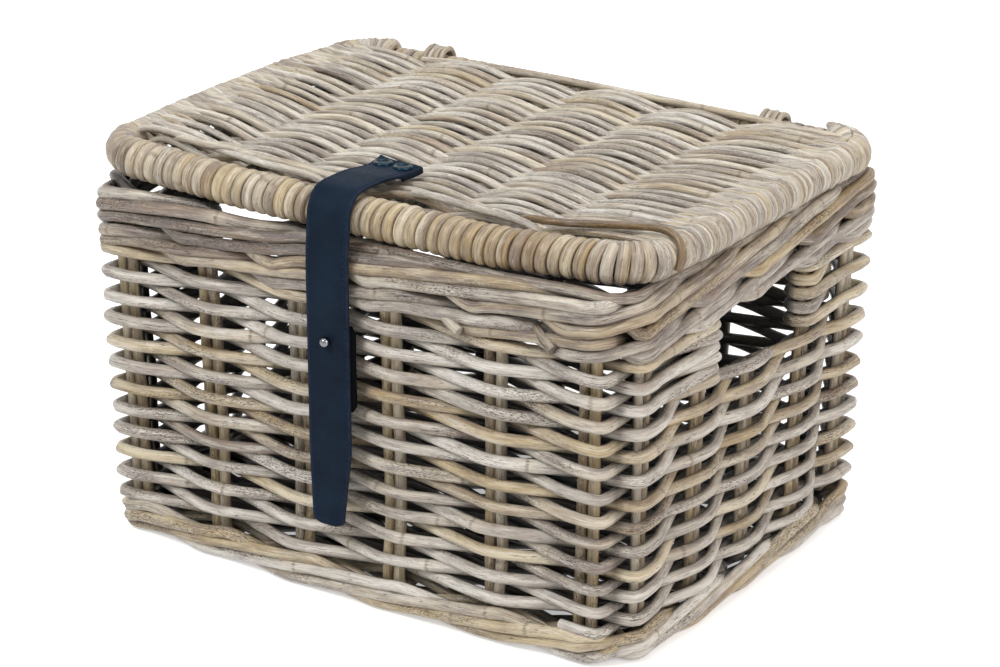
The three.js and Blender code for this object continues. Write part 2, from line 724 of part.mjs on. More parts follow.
addWinding('front_binding_left',
  (name) => binding(name, -ROD_Y, -frontEnd, -frontSeam, BINDING_PITCH, BINDING_WIDE), 0xb9a581, 0.6);
addWinding('front_binding_right',
  (name) => binding(name, -ROD_Y, frontSeam, frontEnd, BINDING_PITCH, BINDING_WIDE), 0xb9a581, 0.6);
addWinding('back_binding',
  (name) => binding(name, ROD_Y, -backEnd, backEnd, 2 * BINDING_PITCH, wideCane), 0xab9570, 0.6);
addWinding('hinge_lashing_left', (name) => lashing(name, -LASH_X), 0x9c8460, 0.65);
addWinding('hinge_lashing_right', (name) => lashing(name, LASH_X), 0x9c8460, 0.65);

add('strap', atStrap(strapUpper()), 0x232b38, 0.55);
add('strap_tail', atStrap(strapTail()), 0x232b38, 0.55);
add('strap_tab', atStrap(strapTab()), 0x1d232d, 0.6);
add('stud', atStrap(stud()), 0xd6d9de, 0.2, 1);
add('stud_washer', atStrap(studWasher()), 0xb9bcc2, 0.35, 1);
add('strap_rivet_left', atStrap(rivet(-RIVET_X)), 0xb4bfd0, 0.3, 1);
add('strap_rivet_right', atStrap(rivet(RIVET_X)), 0xb4bfd0, 0.3, 1);
add('rivet_burr_left', atStrap(rivetBurr(-RIVET_X)), 0xb9bcc2, 0.35, 1);
add('rivet_burr_right', atStrap(rivetBurr(RIVET_X)), 0xb9bcc2, 0.35, 1);

export default basket;
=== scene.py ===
# %% [markdown]
# # A lidded rattan basket with a leather strap
# The solid model says where every cane runs and what moves. This lesson dresses it: each straight-sided
# tube becomes a round, weathered cane that bends smoothly, and the strap becomes stitched leather.
# All sizes are written in millimetres and turned to metres when a mesh is made.

# %% Load the frame
import math

import bmesh
import bpy
import numpy as np
from mathutils import Matrix, Vector


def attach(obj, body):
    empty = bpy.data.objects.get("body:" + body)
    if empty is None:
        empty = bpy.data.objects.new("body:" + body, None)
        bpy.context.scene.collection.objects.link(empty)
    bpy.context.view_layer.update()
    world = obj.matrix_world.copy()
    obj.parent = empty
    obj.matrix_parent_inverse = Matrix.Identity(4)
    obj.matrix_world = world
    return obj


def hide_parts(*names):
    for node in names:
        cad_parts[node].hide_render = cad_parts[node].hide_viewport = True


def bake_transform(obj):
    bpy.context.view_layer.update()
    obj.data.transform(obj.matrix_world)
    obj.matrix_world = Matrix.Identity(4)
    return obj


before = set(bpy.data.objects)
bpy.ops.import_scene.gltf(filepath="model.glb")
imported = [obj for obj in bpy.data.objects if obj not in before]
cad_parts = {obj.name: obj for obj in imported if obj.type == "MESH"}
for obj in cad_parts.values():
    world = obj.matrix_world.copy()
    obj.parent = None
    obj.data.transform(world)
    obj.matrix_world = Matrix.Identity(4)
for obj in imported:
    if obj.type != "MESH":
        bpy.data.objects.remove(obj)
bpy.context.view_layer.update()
MM = 0.001
SEED = 27
rng = np.random.default_rng(SEED)


def add_object(name, data):
    """A new object of the scene, at the origin."""
    made = bpy.data.objects.new(name, data)
    bpy.context.collection.objects.link(made)
    return made


# %% [markdown]
# ## The camera
# The photograph was taken with a long lens from the right, a little above the lid. The place and the lens
# were found by matching corners of the basket, so the camera is set from its three axes directly.

# %% Camera
CAMERA_AT = (1189.6, -1753.43, 981.6)
CAMERA_AZIMUTH, CAMERA_ELEVATION = math.radians(33.8), math.radians(21.68)
CAMERA_LENS, SENSOR_WIDTH = 117.56, 36
CLIP_NEAR, CLIP_FAR = 0.05, 50

lens = bpy.data.cameras.new("photo_camera")
lens.lens, lens.sensor_width, lens.sensor_fit = CAMERA_LENS, SENSOR_WIDTH, "HORIZONTAL"
lens.clip_start, lens.clip_end = CLIP_NEAR, CLIP_FAR
camera = add_object("photo_camera", lens)
back = Vector((math.sin(CAMERA_AZIMUTH) * math.cos(CAMERA_ELEVATION),
               -math.cos(CAMERA_AZIMUTH) * math.cos(CAMERA_ELEVATION),
               math.sin(CAMERA_ELEVATION)))
right = Vector((0, 0, 1)).cross(back).normalized()
axes = Matrix((right, back.cross(right), back)).transposed().to_4x4()
camera.matrix_world = Matrix.Translation(Vector(CAMERA_AT) * MM) @ axes
bpy.context.scene.camera = camera
print("camera at", [round(v, 3) for v in camera.location])

# %% [markdown]
# ## The path of a cane
# Rattan is a long round cane. Every cane here is a list of points in millimetres, with a half thickness and
# two numbers for its colour: tone runs from pale to dark, and warmth from grey to brown. All the canes of
# one piece go into a mesh of bare edges, which Geometry Nodes then turn into tubes.

# %% Canes as edges
SET_BACK = 4.075
UPWARD = (0.0, 0.0, 1.0)


def in_metres(p):
    """A point of the basket in metres, set back as the solid model is."""
    return p[0] * MM, (p[1] + SET_BACK) * MM, p[2] * MM


class CaneBundle:
    """Points of many canes, kept together until they become one mesh of edges."""

    def __init__(self, bend=None):
        self.points, self.edges, self.thick, self.tone, self.warm, self.outward = [], [], [], [], [], []
        self.bend = bend

    def add(self, points, half, tone=None, warm=None, outward=None):
        tone = rng.uniform(0, 1) if tone is None else tone
        warm = rng.uniform(0, 1) if warm is None else warm
        start, count = len(self.points), len(points)
        self.points += [in_metres(self.bend(p) if self.bend else p) for p in points]
        self.edges += [(start + i - 1, start + i) for i in range(1, count)]
        self.thick += [float(h) * MM for h in np.broadcast_to(half, count)]
        self.tone += [tone] * count
        self.warm += [warm] * count
        self.outward += [UPWARD] * count if outward is None else [tuple(o) for o in outward]

    def mesh(self, name):
        mesh = bpy.data.meshes.new(name)
        mesh.from_pydata(self.points, self.edges, [])
        for key, values in (("thick", self.thick), ("tone", self.tone), ("warm", self.warm)):
            mesh.attributes.new(key, "FLOAT", "POINT").data.foreach_set("value", values)
        outward = np.array(self.outward, dtype=np.float32).ravel()
        mesh.attributes.new("outward", "FLOAT_VECTOR", "POINT").data.foreach_set("vector", outward)
        return mesh


print("canes are edges with a thickness, a tone and a warmth")

# %% [markdown]
# ## A tree that turns edges into canes
# A tube could be made with a bevelled curve, but a node tree also gives each cane its swollen joints, a
# little unevenness and the coordinates that its grain needs. Trees of nodes are long to write out, so a few
# short helpers make a node, set its sockets and join it to the next.

# %% Node helpers
def fix(made, inputs):
    """Sets input sockets of a node by name."""
    for label, value in inputs.items():
        made.inputs[label].default_value = value


def node(tree, kind, inputs=None, **settings):
    made = tree.nodes.new(kind)
    for key, value in settings.items():
        setattr(made, key, value)
    fix(made, inputs or {})
    return made


def plug(tree, value, socket):
    """Sets a socket to a number or a colour, or links another node's output to it."""
    if isinstance(value, (int, float, tuple)):
        socket.default_value = value
    else:
        tree.links.new(value, socket)


def calc(tree, operation, first, *others):
    """A math node on one or two values, or a chain of such nodes on more."""
    for other in others or (None,):
        made = node(tree, "ShaderNodeMath", operation=operation)
        plug(tree, first, made.inputs[0])
        if other is not None:
            plug(tree, other, made.inputs[1])
        first = made.outputs[0]
    return first


def limits(tree, value, low, high, to_low=0.0, to_high=1.0):
    """Carries a value from one range to another, and holds it at the ends."""
    made = node(tree, "ShaderNodeMapRange",
                {"From Min": low, "From Max": high, "To Min": to_low, "To Max": to_high})
    tree.links.new(value, made.inputs["Value"])
    return made.outputs["Result"]


def combine(tree, *parts):
    """A vector from three numbers or outputs."""
    made = node(tree, "ShaderNodeCombineXYZ")
    for socket, value in zip(made.inputs, parts):
        plug(tree, value, socket)
    return made.outputs["Vector"]


def pipe(tree, *nodes):
    """Passes the geometry from each node to the next, through their first sockets."""
    for before, after in zip(nodes, nodes[1:]):
        tree.links.new(before.outputs[0], after.inputs[0])


def new_tree(name, inputs):
    """A geometry tree with its named inputs, and the nodes at its two ends."""
    tree = bpy.data.node_groups.new(name, "GeometryNodeTree")
    for label, kind in {"Geometry": "Geometry", **inputs}.items():
        tree.interface.new_socket(label, in_out="INPUT", socket_type="NodeSocket" + kind)
    tree.interface.new_socket("Geometry", in_out="OUTPUT", socket_type="NodeSocketGeometry")
    return tree, node(tree, "NodeGroupInput"), node(tree, "NodeGroupOutput")


def set_material(tree, source):
    """The node at the end of a tree that gives the mesh its finish."""
    made = node(tree, "GeometryNodeSetMaterial")
    tree.links.new(source.outputs["Material"], made.inputs["Material"])
    return made


print("node helpers are ready")

# %% [markdown]
# The tree reads the edges as curves, smooths them, sweeps a ring along them, and keeps for every point the
# angle round the cane, the length along it and the middle of the cane there. Joints come at uneven steps
# along a cane, at the cells of a pattern in one dimension, and the cane swells a little beside each.

# %% The cane tree
JOINT_PITCH, JOINT_SHIFT, JOINT_SPAN = 0.33, 57.0, 0.035
CURVE_STEPS, WAVER_SCALE = 8, 4.0


def named(tree, name, kind="FLOAT"):
    return node(tree, "GeometryNodeInputNamedAttribute", {"Name": name}, data_type=kind).outputs["Attribute"]


def keep(tree, name, value, kind="FLOAT"):
    """A node that stores a value on the points that pass through it."""
    made = node(tree, "GeometryNodeStoreNamedAttribute", {"Name": name}, data_type=kind, domain="POINT")
    tree.links.new(value, made.inputs["Value"])
    return made


def joint_place(tree, along, tone):
    """Length along a cane in joint pitches, shifted by its tone so that canes differ in their joints."""
    return calc(tree, "ADD", calc(tree, "DIVIDE", along, JOINT_PITCH),
                calc(tree, "MULTIPLY", tone, JOINT_SHIFT))


def joint_gap(tree, place):
    """Distance to the nearest joint, in joint pitches."""
    joints = node(tree, "ShaderNodeTexVoronoi", {"Scale": 1.0}, voronoi_dimensions="1D", feature="F1")
    tree.links.new(place, joints.inputs["W"])
    return joints.outputs["Distance"]


def thickness(tree, source):
    """The half thickness of a cane, with its swollen joints and its unevenness."""
    place = joint_place(tree, named(tree, "along"), named(tree, "tone"))
    near = limits(tree, joint_gap(tree, place), 0.0, JOINT_SPAN, 1.0, 0.0)
    swell = calc(tree, "MULTIPLY", near, source.outputs["Joint swell"])
    uneven = node(tree, "ShaderNodeTexNoise", {"Scale": WAVER_SCALE}, noise_dimensions="1D")
    tree.links.new(place, uneven.inputs["W"])
    centred = calc(tree, "SUBTRACT", uneven.outputs["Fac"], 0.5)
    waver = calc(tree, "MULTIPLY", centred, source.outputs["Unevenness"])
    return calc(tree, "MULTIPLY", named(tree, "thick"), calc(tree, "ADD", swell, waver, 1.0))


def cane_tree(name, flat):
    """A node tree from bare edges to canes; a flat one keeps its broad side to the attribute outward."""
    tree, source, sink = new_tree(name, {"Sides": "Int", "Step": "Float", "Unevenness": "Float",
                                         "Joint swell": "Float", "Broadness": "Float", "Material": "Material"})
    link, sides = tree.links.new, source.outputs["Sides"]
    steps = node(tree, "GeometryNodeResampleCurve", mode="LENGTH")
    link(source.outputs["Step"], steps.inputs["Length"])
    line = [source, node(tree, "GeometryNodeMeshToCurve"),
            node(tree, "GeometryNodeCurveSplineType", spline_type="CATMULL_ROM"),
            node(tree, "GeometryNodeSetSplineResolution", {"Resolution": CURVE_STEPS}), steps]
    if flat:
        turn = node(tree, "GeometryNodeSetCurveNormal", mode="FREE")
        link(named(tree, "outward", "FLOAT_VECTOR"), turn.inputs["Normal"])
        line.append(turn)
    line.append(keep(tree, "along", node(tree, "GeometryNodeSplineParameter").outputs["Length"]))
    middle = node(tree, "GeometryNodeInputPosition").outputs["Position"]
    line.append(keep(tree, "core", middle, "FLOAT_VECTOR"))
    ring = node(tree, "GeometryNodeCurvePrimitiveCircle", {"Radius": 1.0})
    broad = node(tree, "GeometryNodeTransform")
    tube = node(tree, "GeometryNodeCurveToMesh", {"Fill Caps": True})
    link(sides, ring.inputs["Resolution"])
    link(combine(tree, 1.0, source.outputs["Broadness"], 1.0), broad.inputs["Scale"])
    pipe(tree, ring, broad)
    link(broad.outputs["Geometry"], tube.inputs["Profile Curve"])
    link(thickness(tree, source), tube.inputs["Scale"])
    index = node(tree, "GeometryNodeInputIndex").outputs["Index"]
    share = calc(tree, "DIVIDE", calc(tree, "MODULO", index, sides), sides)
    angle = calc(tree, "MULTIPLY", share, 2 * math.pi)
    grain = combine(tree, calc(tree, "COSINE", angle), calc(tree, "SINE", angle), named(tree, "along"))
    pipe(tree, *line, tube, keep(tree, "grain", grain, "FLOAT_VECTOR"),
         node(tree, "GeometryNodeSetShadeSmooth"), node(tree, "GeometryNodeRealizeInstances"),
         set_material(tree, source), sink)
    return tree


ROUND_CANE = cane_tree("round_cane", False)
FLAT_CANE = cane_tree("flat_cane", True)
print("cane trees:", [t.name for t in (ROUND_CANE, FLAT_CANE)])

# %% [markdown]
# ## From a tree to a plain mesh
# The export keeps meshes, not modifiers. So each piece is evaluated once, its result becomes a plain mesh
# with its place in its points, and only then is it told which body carries it and which solids it stands for.

# %% Bake a piece
TRIANGLES = {}


def note(piece, stands_for, where):
    """Hides the solids that a piece stands for, and counts and prints its triangles."""
    if stands_for:
        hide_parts(*stands_for)
    piece.data.calc_loop_triangles()
    TRIANGLES[piece.name] = len(piece.data.loop_triangles)
    print(f"{piece.name}: {TRIANGLES[piece.name]} triangles {where}, for {len(stands_for)} solids")


def settle(piece, body, stands_for=()):
    """Puts a finished piece on the body that carries it."""
    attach(piece, body)
    note(piece, stands_for, "on " + body)


def bake(source, tree, name, values):
    """Runs a node tree on an object and gives back its result as a plain object."""
    modifier = source.modifiers.new("tree", "NODES")
    modifier.node_group = tree
    for item in tree.interface.items_tree:
        if item.item_type == "SOCKET" and item.in_out == "INPUT" and item.name in values:
            modifier[item.identifier] = values[item.name]
    graph = bpy.context.evaluated_depsgraph_get()
    mesh = bpy.data.meshes.new_from_object(source.evaluated_get(graph), depsgraph=graph)
    source.modifiers.remove(modifier)
    mesh.name = name
    piece = add_object(name, mesh)
    bpy.data.objects.remove(source)
    return piece


def make_canes(bundle, name, material, sides, step, uneven=0.06, swell=0.1, flat=None):
    """One piece from a bundle; step is in millimetres, and flat is how much broader than thick a cane is."""
    source = add_object(name + "_edges", bundle.mesh(name + "_edges"))
    values = {"Sides": sides, "Step": step * MM, "Unevenness": uneven, "Joint swell": swell,
              "Broadness": flat or 1.0, "Material": material}
    return bake(source, FLAT_CANE if flat else ROUND_CANE, name, values)


print("bake, make_canes and settle are ready")

# %% [markdown]
# ## Materials from patterns
# Every finish here is drawn by nodes, with no pictures. A finish is a base colour, a roughness and a height
# for its bumps, each made of noise that is carried to a useful range and mixed with a tint.

# %% Shader helpers
def srgb(*channels):
    """A colour of 0 to 255 as the light values that a shader works with."""
    return tuple(c / 255 / 12.92 if c <= 10 else ((c / 255 + 0.055) / 1.055) ** 2.4 for c in channels) + (1,)


def new_material(name):
    material = bpy.data.materials.new(name)
    material.use_nodes = True
    return material, material.node_tree, material.node_tree.nodes["Principled BSDF"]


def dress(tree, shader, color, rough, height, strength, distance):
    """Links a colour, a roughness and the height of its bumps to a shader."""
    bump = node(tree, "ShaderNodeBump", {"Strength": strength, "Distance": distance})
    for value, socket in ((color, shader.inputs["Base Color"]), (rough, shader.inputs["Roughness"]),
                          (height, bump.inputs["Height"]), (bump.outputs["Normal"], shader.inputs["Normal"])):
        tree.links.new(value, socket)


def ramp(tree, fac, stops):
    made = node(tree, "ShaderNodeValToRGB")
    elements = made.color_ramp.elements
    while len(elements) < len(stops):
        elements.new(0.5)
    for element, (position, color) in zip(elements, stops):
        element.position = position
        element.color = color
    tree.links.new(fac, made.inputs["Fac"])
    return made.outputs["Color"]


def attribute(tree, name, output="Fac"):
    return node(tree, "ShaderNodeAttribute", attribute_name=name, attribute_type="GEOMETRY").outputs[output]


def object_place(tree):
    return node(tree, "ShaderNodeTexCoord").outputs["Object"]


def noise(tree, vector, scale, detail, rough):
    made = node(tree, "ShaderNodeTexNoise", {"Scale": scale, "Detail": detail, "Roughness": rough},
                noise_dimensions="3D")
    tree.links.new(vector, made.inputs["Vector"])
    return made.outputs["Fac"]


def mix_color(tree, kind, fac, a, b):
    made = node(tree, "ShaderNodeMix", data_type="RGBA", blend_type=kind)
    for place, value in ((0, fac), (6, a), (7, b)):
        plug(tree, value, made.inputs[place])
    return made.outputs[2]


print("shader helpers are ready")

# %% [markdown]
# ## Painted shade inside
# Through the gaps and the handle the photograph shows a dark inside. Here the light is soft and comes in by
# every gap, so shadow alone leaves the inside too bright. Instead shade is painted into the colour of the
# canes: it darkens them behind the stakes and on faces that look inwards. The attribute core, the middle of
# the cane, tells which way a face looks.

# %% Shade inside the walls
BODY_LENGTH, BODY_DEPTH, RIM_HEIGHT = 450, 344, 252
FLARE, WALL_REACH = 7.5, 14
INNER_SHADE, SHADE_FROM, SHADE_TO = 0.12, -10, 1
TURNED_SHADE, TURNED_FROM, TURNED_TO = 0.15, -2.4, 0.3
FOOT_FROM, FOOT_TO = 4, 11


def inner_shade(tree):
    """Painted shade: one outside the walls and at the foot, falling to INNER_SHADE behind the stakes."""
    place, core = node(tree, "ShaderNodeSeparateXYZ"), node(tree, "ShaderNodeSeparateXYZ")
    tree.links.new(object_place(tree), place.inputs["Vector"])
    tree.links.new(attribute(tree, "core", "Vector"), core.inputs["Vector"])
    lean = calc(tree, "MULTIPLY", place.outputs["Z"], FLARE / RIM_HEIGHT)
    depths, looks = [], []
    for axis, middle, size in (("X", 0.0, BODY_LENGTH), ("Y", SET_BACK, BODY_DEPTH)):
        wall = size / 2 - WALL_REACH - FLARE
        from_middle = calc(tree, "SUBTRACT", place.outputs[axis], middle * MM)
        depths.append(calc(tree, "SUBTRACT", calc(tree, "ABSOLUTE", from_middle), wall * MM, lean))
        offset = calc(tree, "SUBTRACT", place.outputs[axis], core.outputs[axis])
        looks.append(calc(tree, "MULTIPLY", offset, calc(tree, "SIGN", from_middle)))
    behind = limits(tree, calc(tree, "MAXIMUM", *depths), SHADE_FROM * MM, SHADE_TO * MM, INNER_SHADE, 1.0)
    on_side = calc(tree, "GREATER_THAN", *depths)
    look = calc(tree, "ADD", calc(tree, "MULTIPLY", looks[0], on_side),
                calc(tree, "MULTIPLY", looks[1], calc(tree, "SUBTRACT", 1.0, on_side)))
    inward = limits(tree, look, TURNED_FROM * MM, TURNED_TO * MM, TURNED_SHADE, 1.0)
    under = limits(tree, place.outputs["Z"], FOOT_FROM * MM, FOOT_TO * MM, 1.0, 0.0)
    return calc(tree, "MAXIMUM", calc(tree, "MULTIPLY", behind, inward), under)


print("the inside fades to", INNER_SHADE)

# %% [markdown]
# ## Weathered cane
# Old rattan is grey where the sun has bleached it, straw or brown where it has not, with long fibres, dark
# specks, stretches of mildew and a ring at each joint. The patterns are drawn on the cane's own angle and
# length, so that fibres run along every bend. Tone and warmth differ from cane to cane and drift slowly
# along each one. Six finishes share one function and differ in how dark, brown and rough they are.

# %% Cane finishes
GREY_STOPS = [(0.0, srgb(226, 222, 214)), (0.3, srgb(205, 199, 189)), (0.6, srgb(174, 166, 155)),
              (0.85, srgb(136, 126, 117)), (1.0, srgb(102, 92, 84))]
WARM_STOPS = [(0.0, srgb(216, 203, 174)), (0.35, srgb(192, 174, 137)), (0.7, srgb(162, 139, 100)),
              (1.0, srgb(118, 95, 64))]
PINK, SCUFFED, COOL, SCAR = srgb(172, 148, 132), srgb(218, 212, 200), srgb(156, 148, 148), srgb(206, 194, 172)
LINE, SPECK, MOULD, SEAM = srgb(118, 98, 80), srgb(92, 74, 60), srgb(96, 78, 66), srgb(84, 64, 48)
# Each pattern: its scale round the cane and along it, then its detail and its roughness.
PATTERNS = {"drift": (0.3, 8.0, 2.0, 0.55), "blotch": (0.9, 42.0, 4.0, 0.65), "fibre": (4.6, 24.0, 4.0, 0.7),
            "fine": (13.0, 60.0, 3.0, 0.6), "speck": (5.5, 140.0, 4.0, 0.7), "patch": (0.6, 17.0, 2.0, 0.55),
            "scuff": (2.2, 30.0, 4.0, 0.75), "mould": (7.0, 420.0, 5.0, 0.75),
            "stretch": (0.25, 13.0, 1.0, 0.55)}
# Each effect: the range of its pattern, then what it gives at the two ends of that range.
EFFECTS = {"drift_tone": (0.25, 0.75, -0.34, 0.34), "blotch_tone": (0.32, 0.7, -0.22, 0.36),
           "fibre_tone": (0.3, 0.7, -0.26, 0.26), "patch_warmth": (0.3, 0.7, 0.3, -0.3),
           "pink": (0.58, 0.72, 0.0, 0.4), "scuffed": (0.58, 0.66, 0.0, 0.45), "cool": (0.52, 0.64, 0.0, 0.3),
           "line": (0.55, 0.7, 0.0, 0.62), "speck": (0.57, 0.64), "specked_patch": (0.38, 0.52),
           "mould": (0.49, 0.57), "mould_stretch": (0.52, 0.62), "joint_waver": (0.2, 0.8, -0.006, 0.006),
           "seam": (0.0015, 0.0055, 0.7, 0.0), "seam_break": (0.4, 0.62, 0.1, 1.0),
           "scar": (0.008, 0.05, 0.3, 0.0)}
PATTERN_SHIFTS = (37.0, 53.0, 91.0)
TONE_BASE, WARM_BASE, WARM_SPREAD, SPECK_SHARE = 0.07, 0.365, 3.26, 0.9
SMOOTHER, ROUGHER = 0.08, 0.16
FIBRE_HEIGHT, FINE_HEIGHT, SEAM_DEPTH = 0.7, 0.5, 0.7
CANE_BUMP, CANE_BUMP_DEPTH = 0.85, 0.0009
CANE_SHEEN = {"Specular IOR Level": 0.35, "Coat Weight": 0.3, "Coat Roughness": 0.2}


def pattern(tree, grain, shift, around, along, detail, rough):
    """Noise on the cane's own coordinates, scaled round and along it, and moved by a number for each cane."""
    scale = node(tree, "ShaderNodeVectorMath", operation="MULTIPLY")
    scale.inputs[1].default_value = (around, around, along)
    move = node(tree, "ShaderNodeVectorMath", operation="ADD")
    tree.links.new(grain, scale.inputs[0])
    pipe(tree, scale, move)
    tree.links.new(shift, move.inputs[1])
    return noise(tree, move.outputs["Vector"], 1.0, detail, rough)


def cane_material(name, tone_shift, warm_shift, roughness, inner=False, spread=0.46, mildew=0.95):
    """A cane finish: spread is how much canes differ, mildew how dark their mould is, inner whether shade is
    painted inside the walls.
    """
    material, tree, shader = new_material(name)

    def effect(value, key):
        return limits(tree, value, *EFFECTS[key])

    grain, tone, warm = attribute(tree, "grain", "Vector"), attribute(tree, "tone"), attribute(tree, "warm")
    shift = combine(tree, *(calc(tree, "MULTIPLY", value, by)
                            for value, by in zip((tone, warm, tone), PATTERN_SHIFTS)))
    seen = {key: pattern(tree, grain, shift, *values) for key, values in PATTERNS.items()}
    fibre, fine = seen["fibre"], seen["fine"]
    level = calc(tree, "ADD", calc(tree, "MULTIPLY", tone, spread), tone_shift + TONE_BASE,
                 effect(seen["drift"], "drift_tone"), effect(seen["blotch"], "blotch_tone"),
                 effect(fibre, "fibre_tone"))
    hue = calc(tree, "MULTIPLY", calc(tree, "SUBTRACT", warm, 0.5), WARM_SPREAD * spread)
    hue = calc(tree, "ADD", hue, warm_shift + WARM_BASE, effect(seen["patch"], "patch_warmth"))
    color = mix_color(tree, "MIX", limits(tree, hue, 0.0, 1.0), ramp(tree, level, GREY_STOPS),
                      ramp(tree, level, WARM_STOPS))
    place = joint_place(tree, attribute(tree, "along"), tone)
    gap = joint_gap(tree, calc(tree, "ADD", place, effect(fibre, "joint_waver")))
    seam = calc(tree, "MULTIPLY", effect(gap, "seam"), effect(fine, "seam_break"))
    specks = calc(tree, "MULTIPLY", effect(seen["speck"], "speck"), effect(seen["patch"], "specked_patch"),
                  SPECK_SHARE)
    mould = calc(tree, "MULTIPLY", effect(seen["mould"], "mould"), effect(seen["stretch"], "mould_stretch"),
                 mildew)
    for kind, share, tint in (
            ("MIX", effect(seen["drift"], "pink"), PINK), ("MIX", effect(seen["scuff"], "scuffed"), SCUFFED),
            ("MULTIPLY", effect(fine, "line"), LINE), ("MULTIPLY", specks, SPECK), ("MULTIPLY", mould, MOULD),
            ("MIX", effect(seen["blotch"], "cool"), COOL), ("MIX", effect(gap, "scar"), SCAR),
            ("MIX", seam, SEAM)):
        color = mix_color(tree, kind, share, color, tint)
    # Painted shade: the colour is darkened behind the stakes and on faces that look inwards.
    if inner:
        dim = node(tree, "ShaderNodeVectorMath", operation="SCALE")
        tree.links.new(color, dim.inputs[0])
        tree.links.new(inner_shade(tree), dim.inputs["Scale"])
        color = dim.outputs["Vector"]
    rough = limits(tree, fibre, 0.25, 0.75, roughness - SMOOTHER, roughness + ROUGHER)
    height = calc(tree, "ADD", calc(tree, "MULTIPLY", fibre, FIBRE_HEIGHT),
                  calc(tree, "MULTIPLY", fine, FINE_HEIGHT))
    height = calc(tree, "SUBTRACT", height, calc(tree, "MULTIPLY", seam, SEAM_DEPTH))
    dress(tree, shader, color, rough, height, CANE_BUMP, CANE_BUMP_DEPTH)
    fix(shader, CANE_SHEEN)
    return material


# The first three finishes carry painted shade: with inner=True their colour darkens inside the walls.
WEAVER_FINISH_PAINTED_SHADE = cane_material("weathered_weaver_painted_shade", tone_shift=0.0, warm_shift=-0.16, roughness=0.34, inner=True)
STAKE_FINISH_PAINTED_SHADE = cane_material("straw_stake_painted_shade", tone_shift=0.1, warm_shift=0.42, roughness=0.45, inner=True)
# Painted shade: the border canes are toned darker, partly for their own colour and partly for the lid's shadow
# on the rim.
BORDER_FINISH_PAINTED_SHADE = cane_material("border_cane_painted_shade", tone_shift=0.42, warm_shift=-0.2, roughness=0.34, inner=True)
LID_FINISH = cane_material("bleached_lid_cane", tone_shift=0.17, warm_shift=-0.04, roughness=0.42, spread=0.24,
                           mildew=0.6)
ROD_FINISH = cane_material("brown_rod", tone_shift=0.75, warm_shift=0.9, roughness=0.5)
BINDING_FINISH = cane_material("split_binding", tone_shift=0.3, warm_shift=0.24, roughness=0.32, mildew=0.1)
CANE_FINISHES = (WEAVER_FINISH_PAINTED_SHADE, STAKE_FINISH_PAINTED_SHADE, BORDER_FINISH_PAINTED_SHADE, LID_FINISH, ROD_FINISH, BINDING_FINISH)
print("cane finishes:", [m.name for m in CANE_FINISHES])

# %% [markdown]
# ## Where the stakes stand
# Twenty-two pairs of stakes carry the walls: six along each long side, five along each short one. The walls
# lean out a little. A helper gives, for any pair and height, the place on the wall and the directions along
# it and out of it, just as the solid model has them, with a hand maker's small unevenness added.

# %% Stations on the wall
CORNER_INSET, PAIR_HALF = 25, 4.1
FRONT_PAIRS, SIDE_PAIRS = 6, 5
STATIONS = 2 * (FRONT_PAIRS + SIDE_PAIRS)
FRONT_NUDGE = (-8, -8, -6, -4, 4, 2)
SIDE_NUDGE = (-1, 3, 4, 12, 6)
LONG_BOW, SHORT_BOW, BOW_TOP = 8.0, 3.0, 70.0
LEFT_UPRIGHT, LEFT_FROM_X, LEFT_RUN = 5.0, 140.0, 60


def wall_x(z):
    return BODY_LENGTH / 2 - WALL_REACH - FLARE * (1 - z / RIM_HEIGHT)


def wall_y(z):
    return BODY_DEPTH / 2 - WALL_REACH - FLARE * (1 - z / RIM_HEIGHT)


def grow(value, start, run):
    """A share that is 0 up to start and grows to 1 over a run."""
    return min(1.0, max(0.0, (value - start) / run))


def station(index, z):
    """Place, direction along the wall, direction out of it, and +1 or -1 beside a corner."""
    k = index % STATIONS
    i = k % (STATIONS // 2)
    long_wall = i < FRONT_PAIRS
    count = FRONT_PAIRS if long_wall else SIDE_PAIRS
    place = i if long_wall else i - FRONT_PAIRS
    turned = -1 if k >= STATIONS // 2 else 1
    span = (wall_x(z) if long_wall else wall_y(z)) - CORNER_INSET
    shift = span * (2 * place / (count - 1) - 1) + (FRONT_NUDGE if long_wall else SIDE_NUDGE)[place] * turned
    if long_wall:
        at, along, out = (shift, -wall_y(z), z), (1, 0, 0), (0, -1, 0)
    else:
        at, along, out = (wall_x(z), shift, z), (0, 1, 0), (1, 0, 0)
    bow = (LONG_BOW if long_wall else SHORT_BOW) * max(0, 1 - (shift / span) ** 2) * max(0, 1 - z / BOW_TOP)
    sign = np.array((turned, turned, 1.0))
    at = (np.array(at) + np.array(out) * bow) * sign
    at[0] += LEFT_UPRIGHT * z / RIM_HEIGHT * grow(-at[0], LEFT_FROM_X, LEFT_RUN)
    corner = (place == count - 1) - (place == 0)
    return at, np.array(along) * sign, np.array(out) * sign, corner


def spot(index, u, v, z):
    """A point u along the wall from a pair, v out of the wall and z high."""
    at, along, out, _ = station(index, z)
    return at + along * u + out * v


print("front pairs at x =", [round(float(station(k, 100)[0][0])) for k in range(FRONT_PAIRS)])

# %% [markdown]
# ## Stakes
# A stake runs down one wall, through the base and up the opposite wall, like a long staple. The pair in the
# middle of each short wall is cut off below the handle opening. Only the gaps between weavers show them.

# %% Stakes
STAKE_HALF, CROSS_HALF = 3.95, 3.3
STAKE_TOP, SILL_Z, SILL_COVER = 238, 168.0, 3
BASE_Z, CROSS_Z, BEND = 13.85, 22.1, 8
LEG_POINTS, LEG_END, LEG_WOBBLE, OUT_SHARE = 7, 6, 0.5, 0.6
BEND_IN, BEND_DROP, BASE_RUN = 2.4, 5.6, (2, 13, 36)


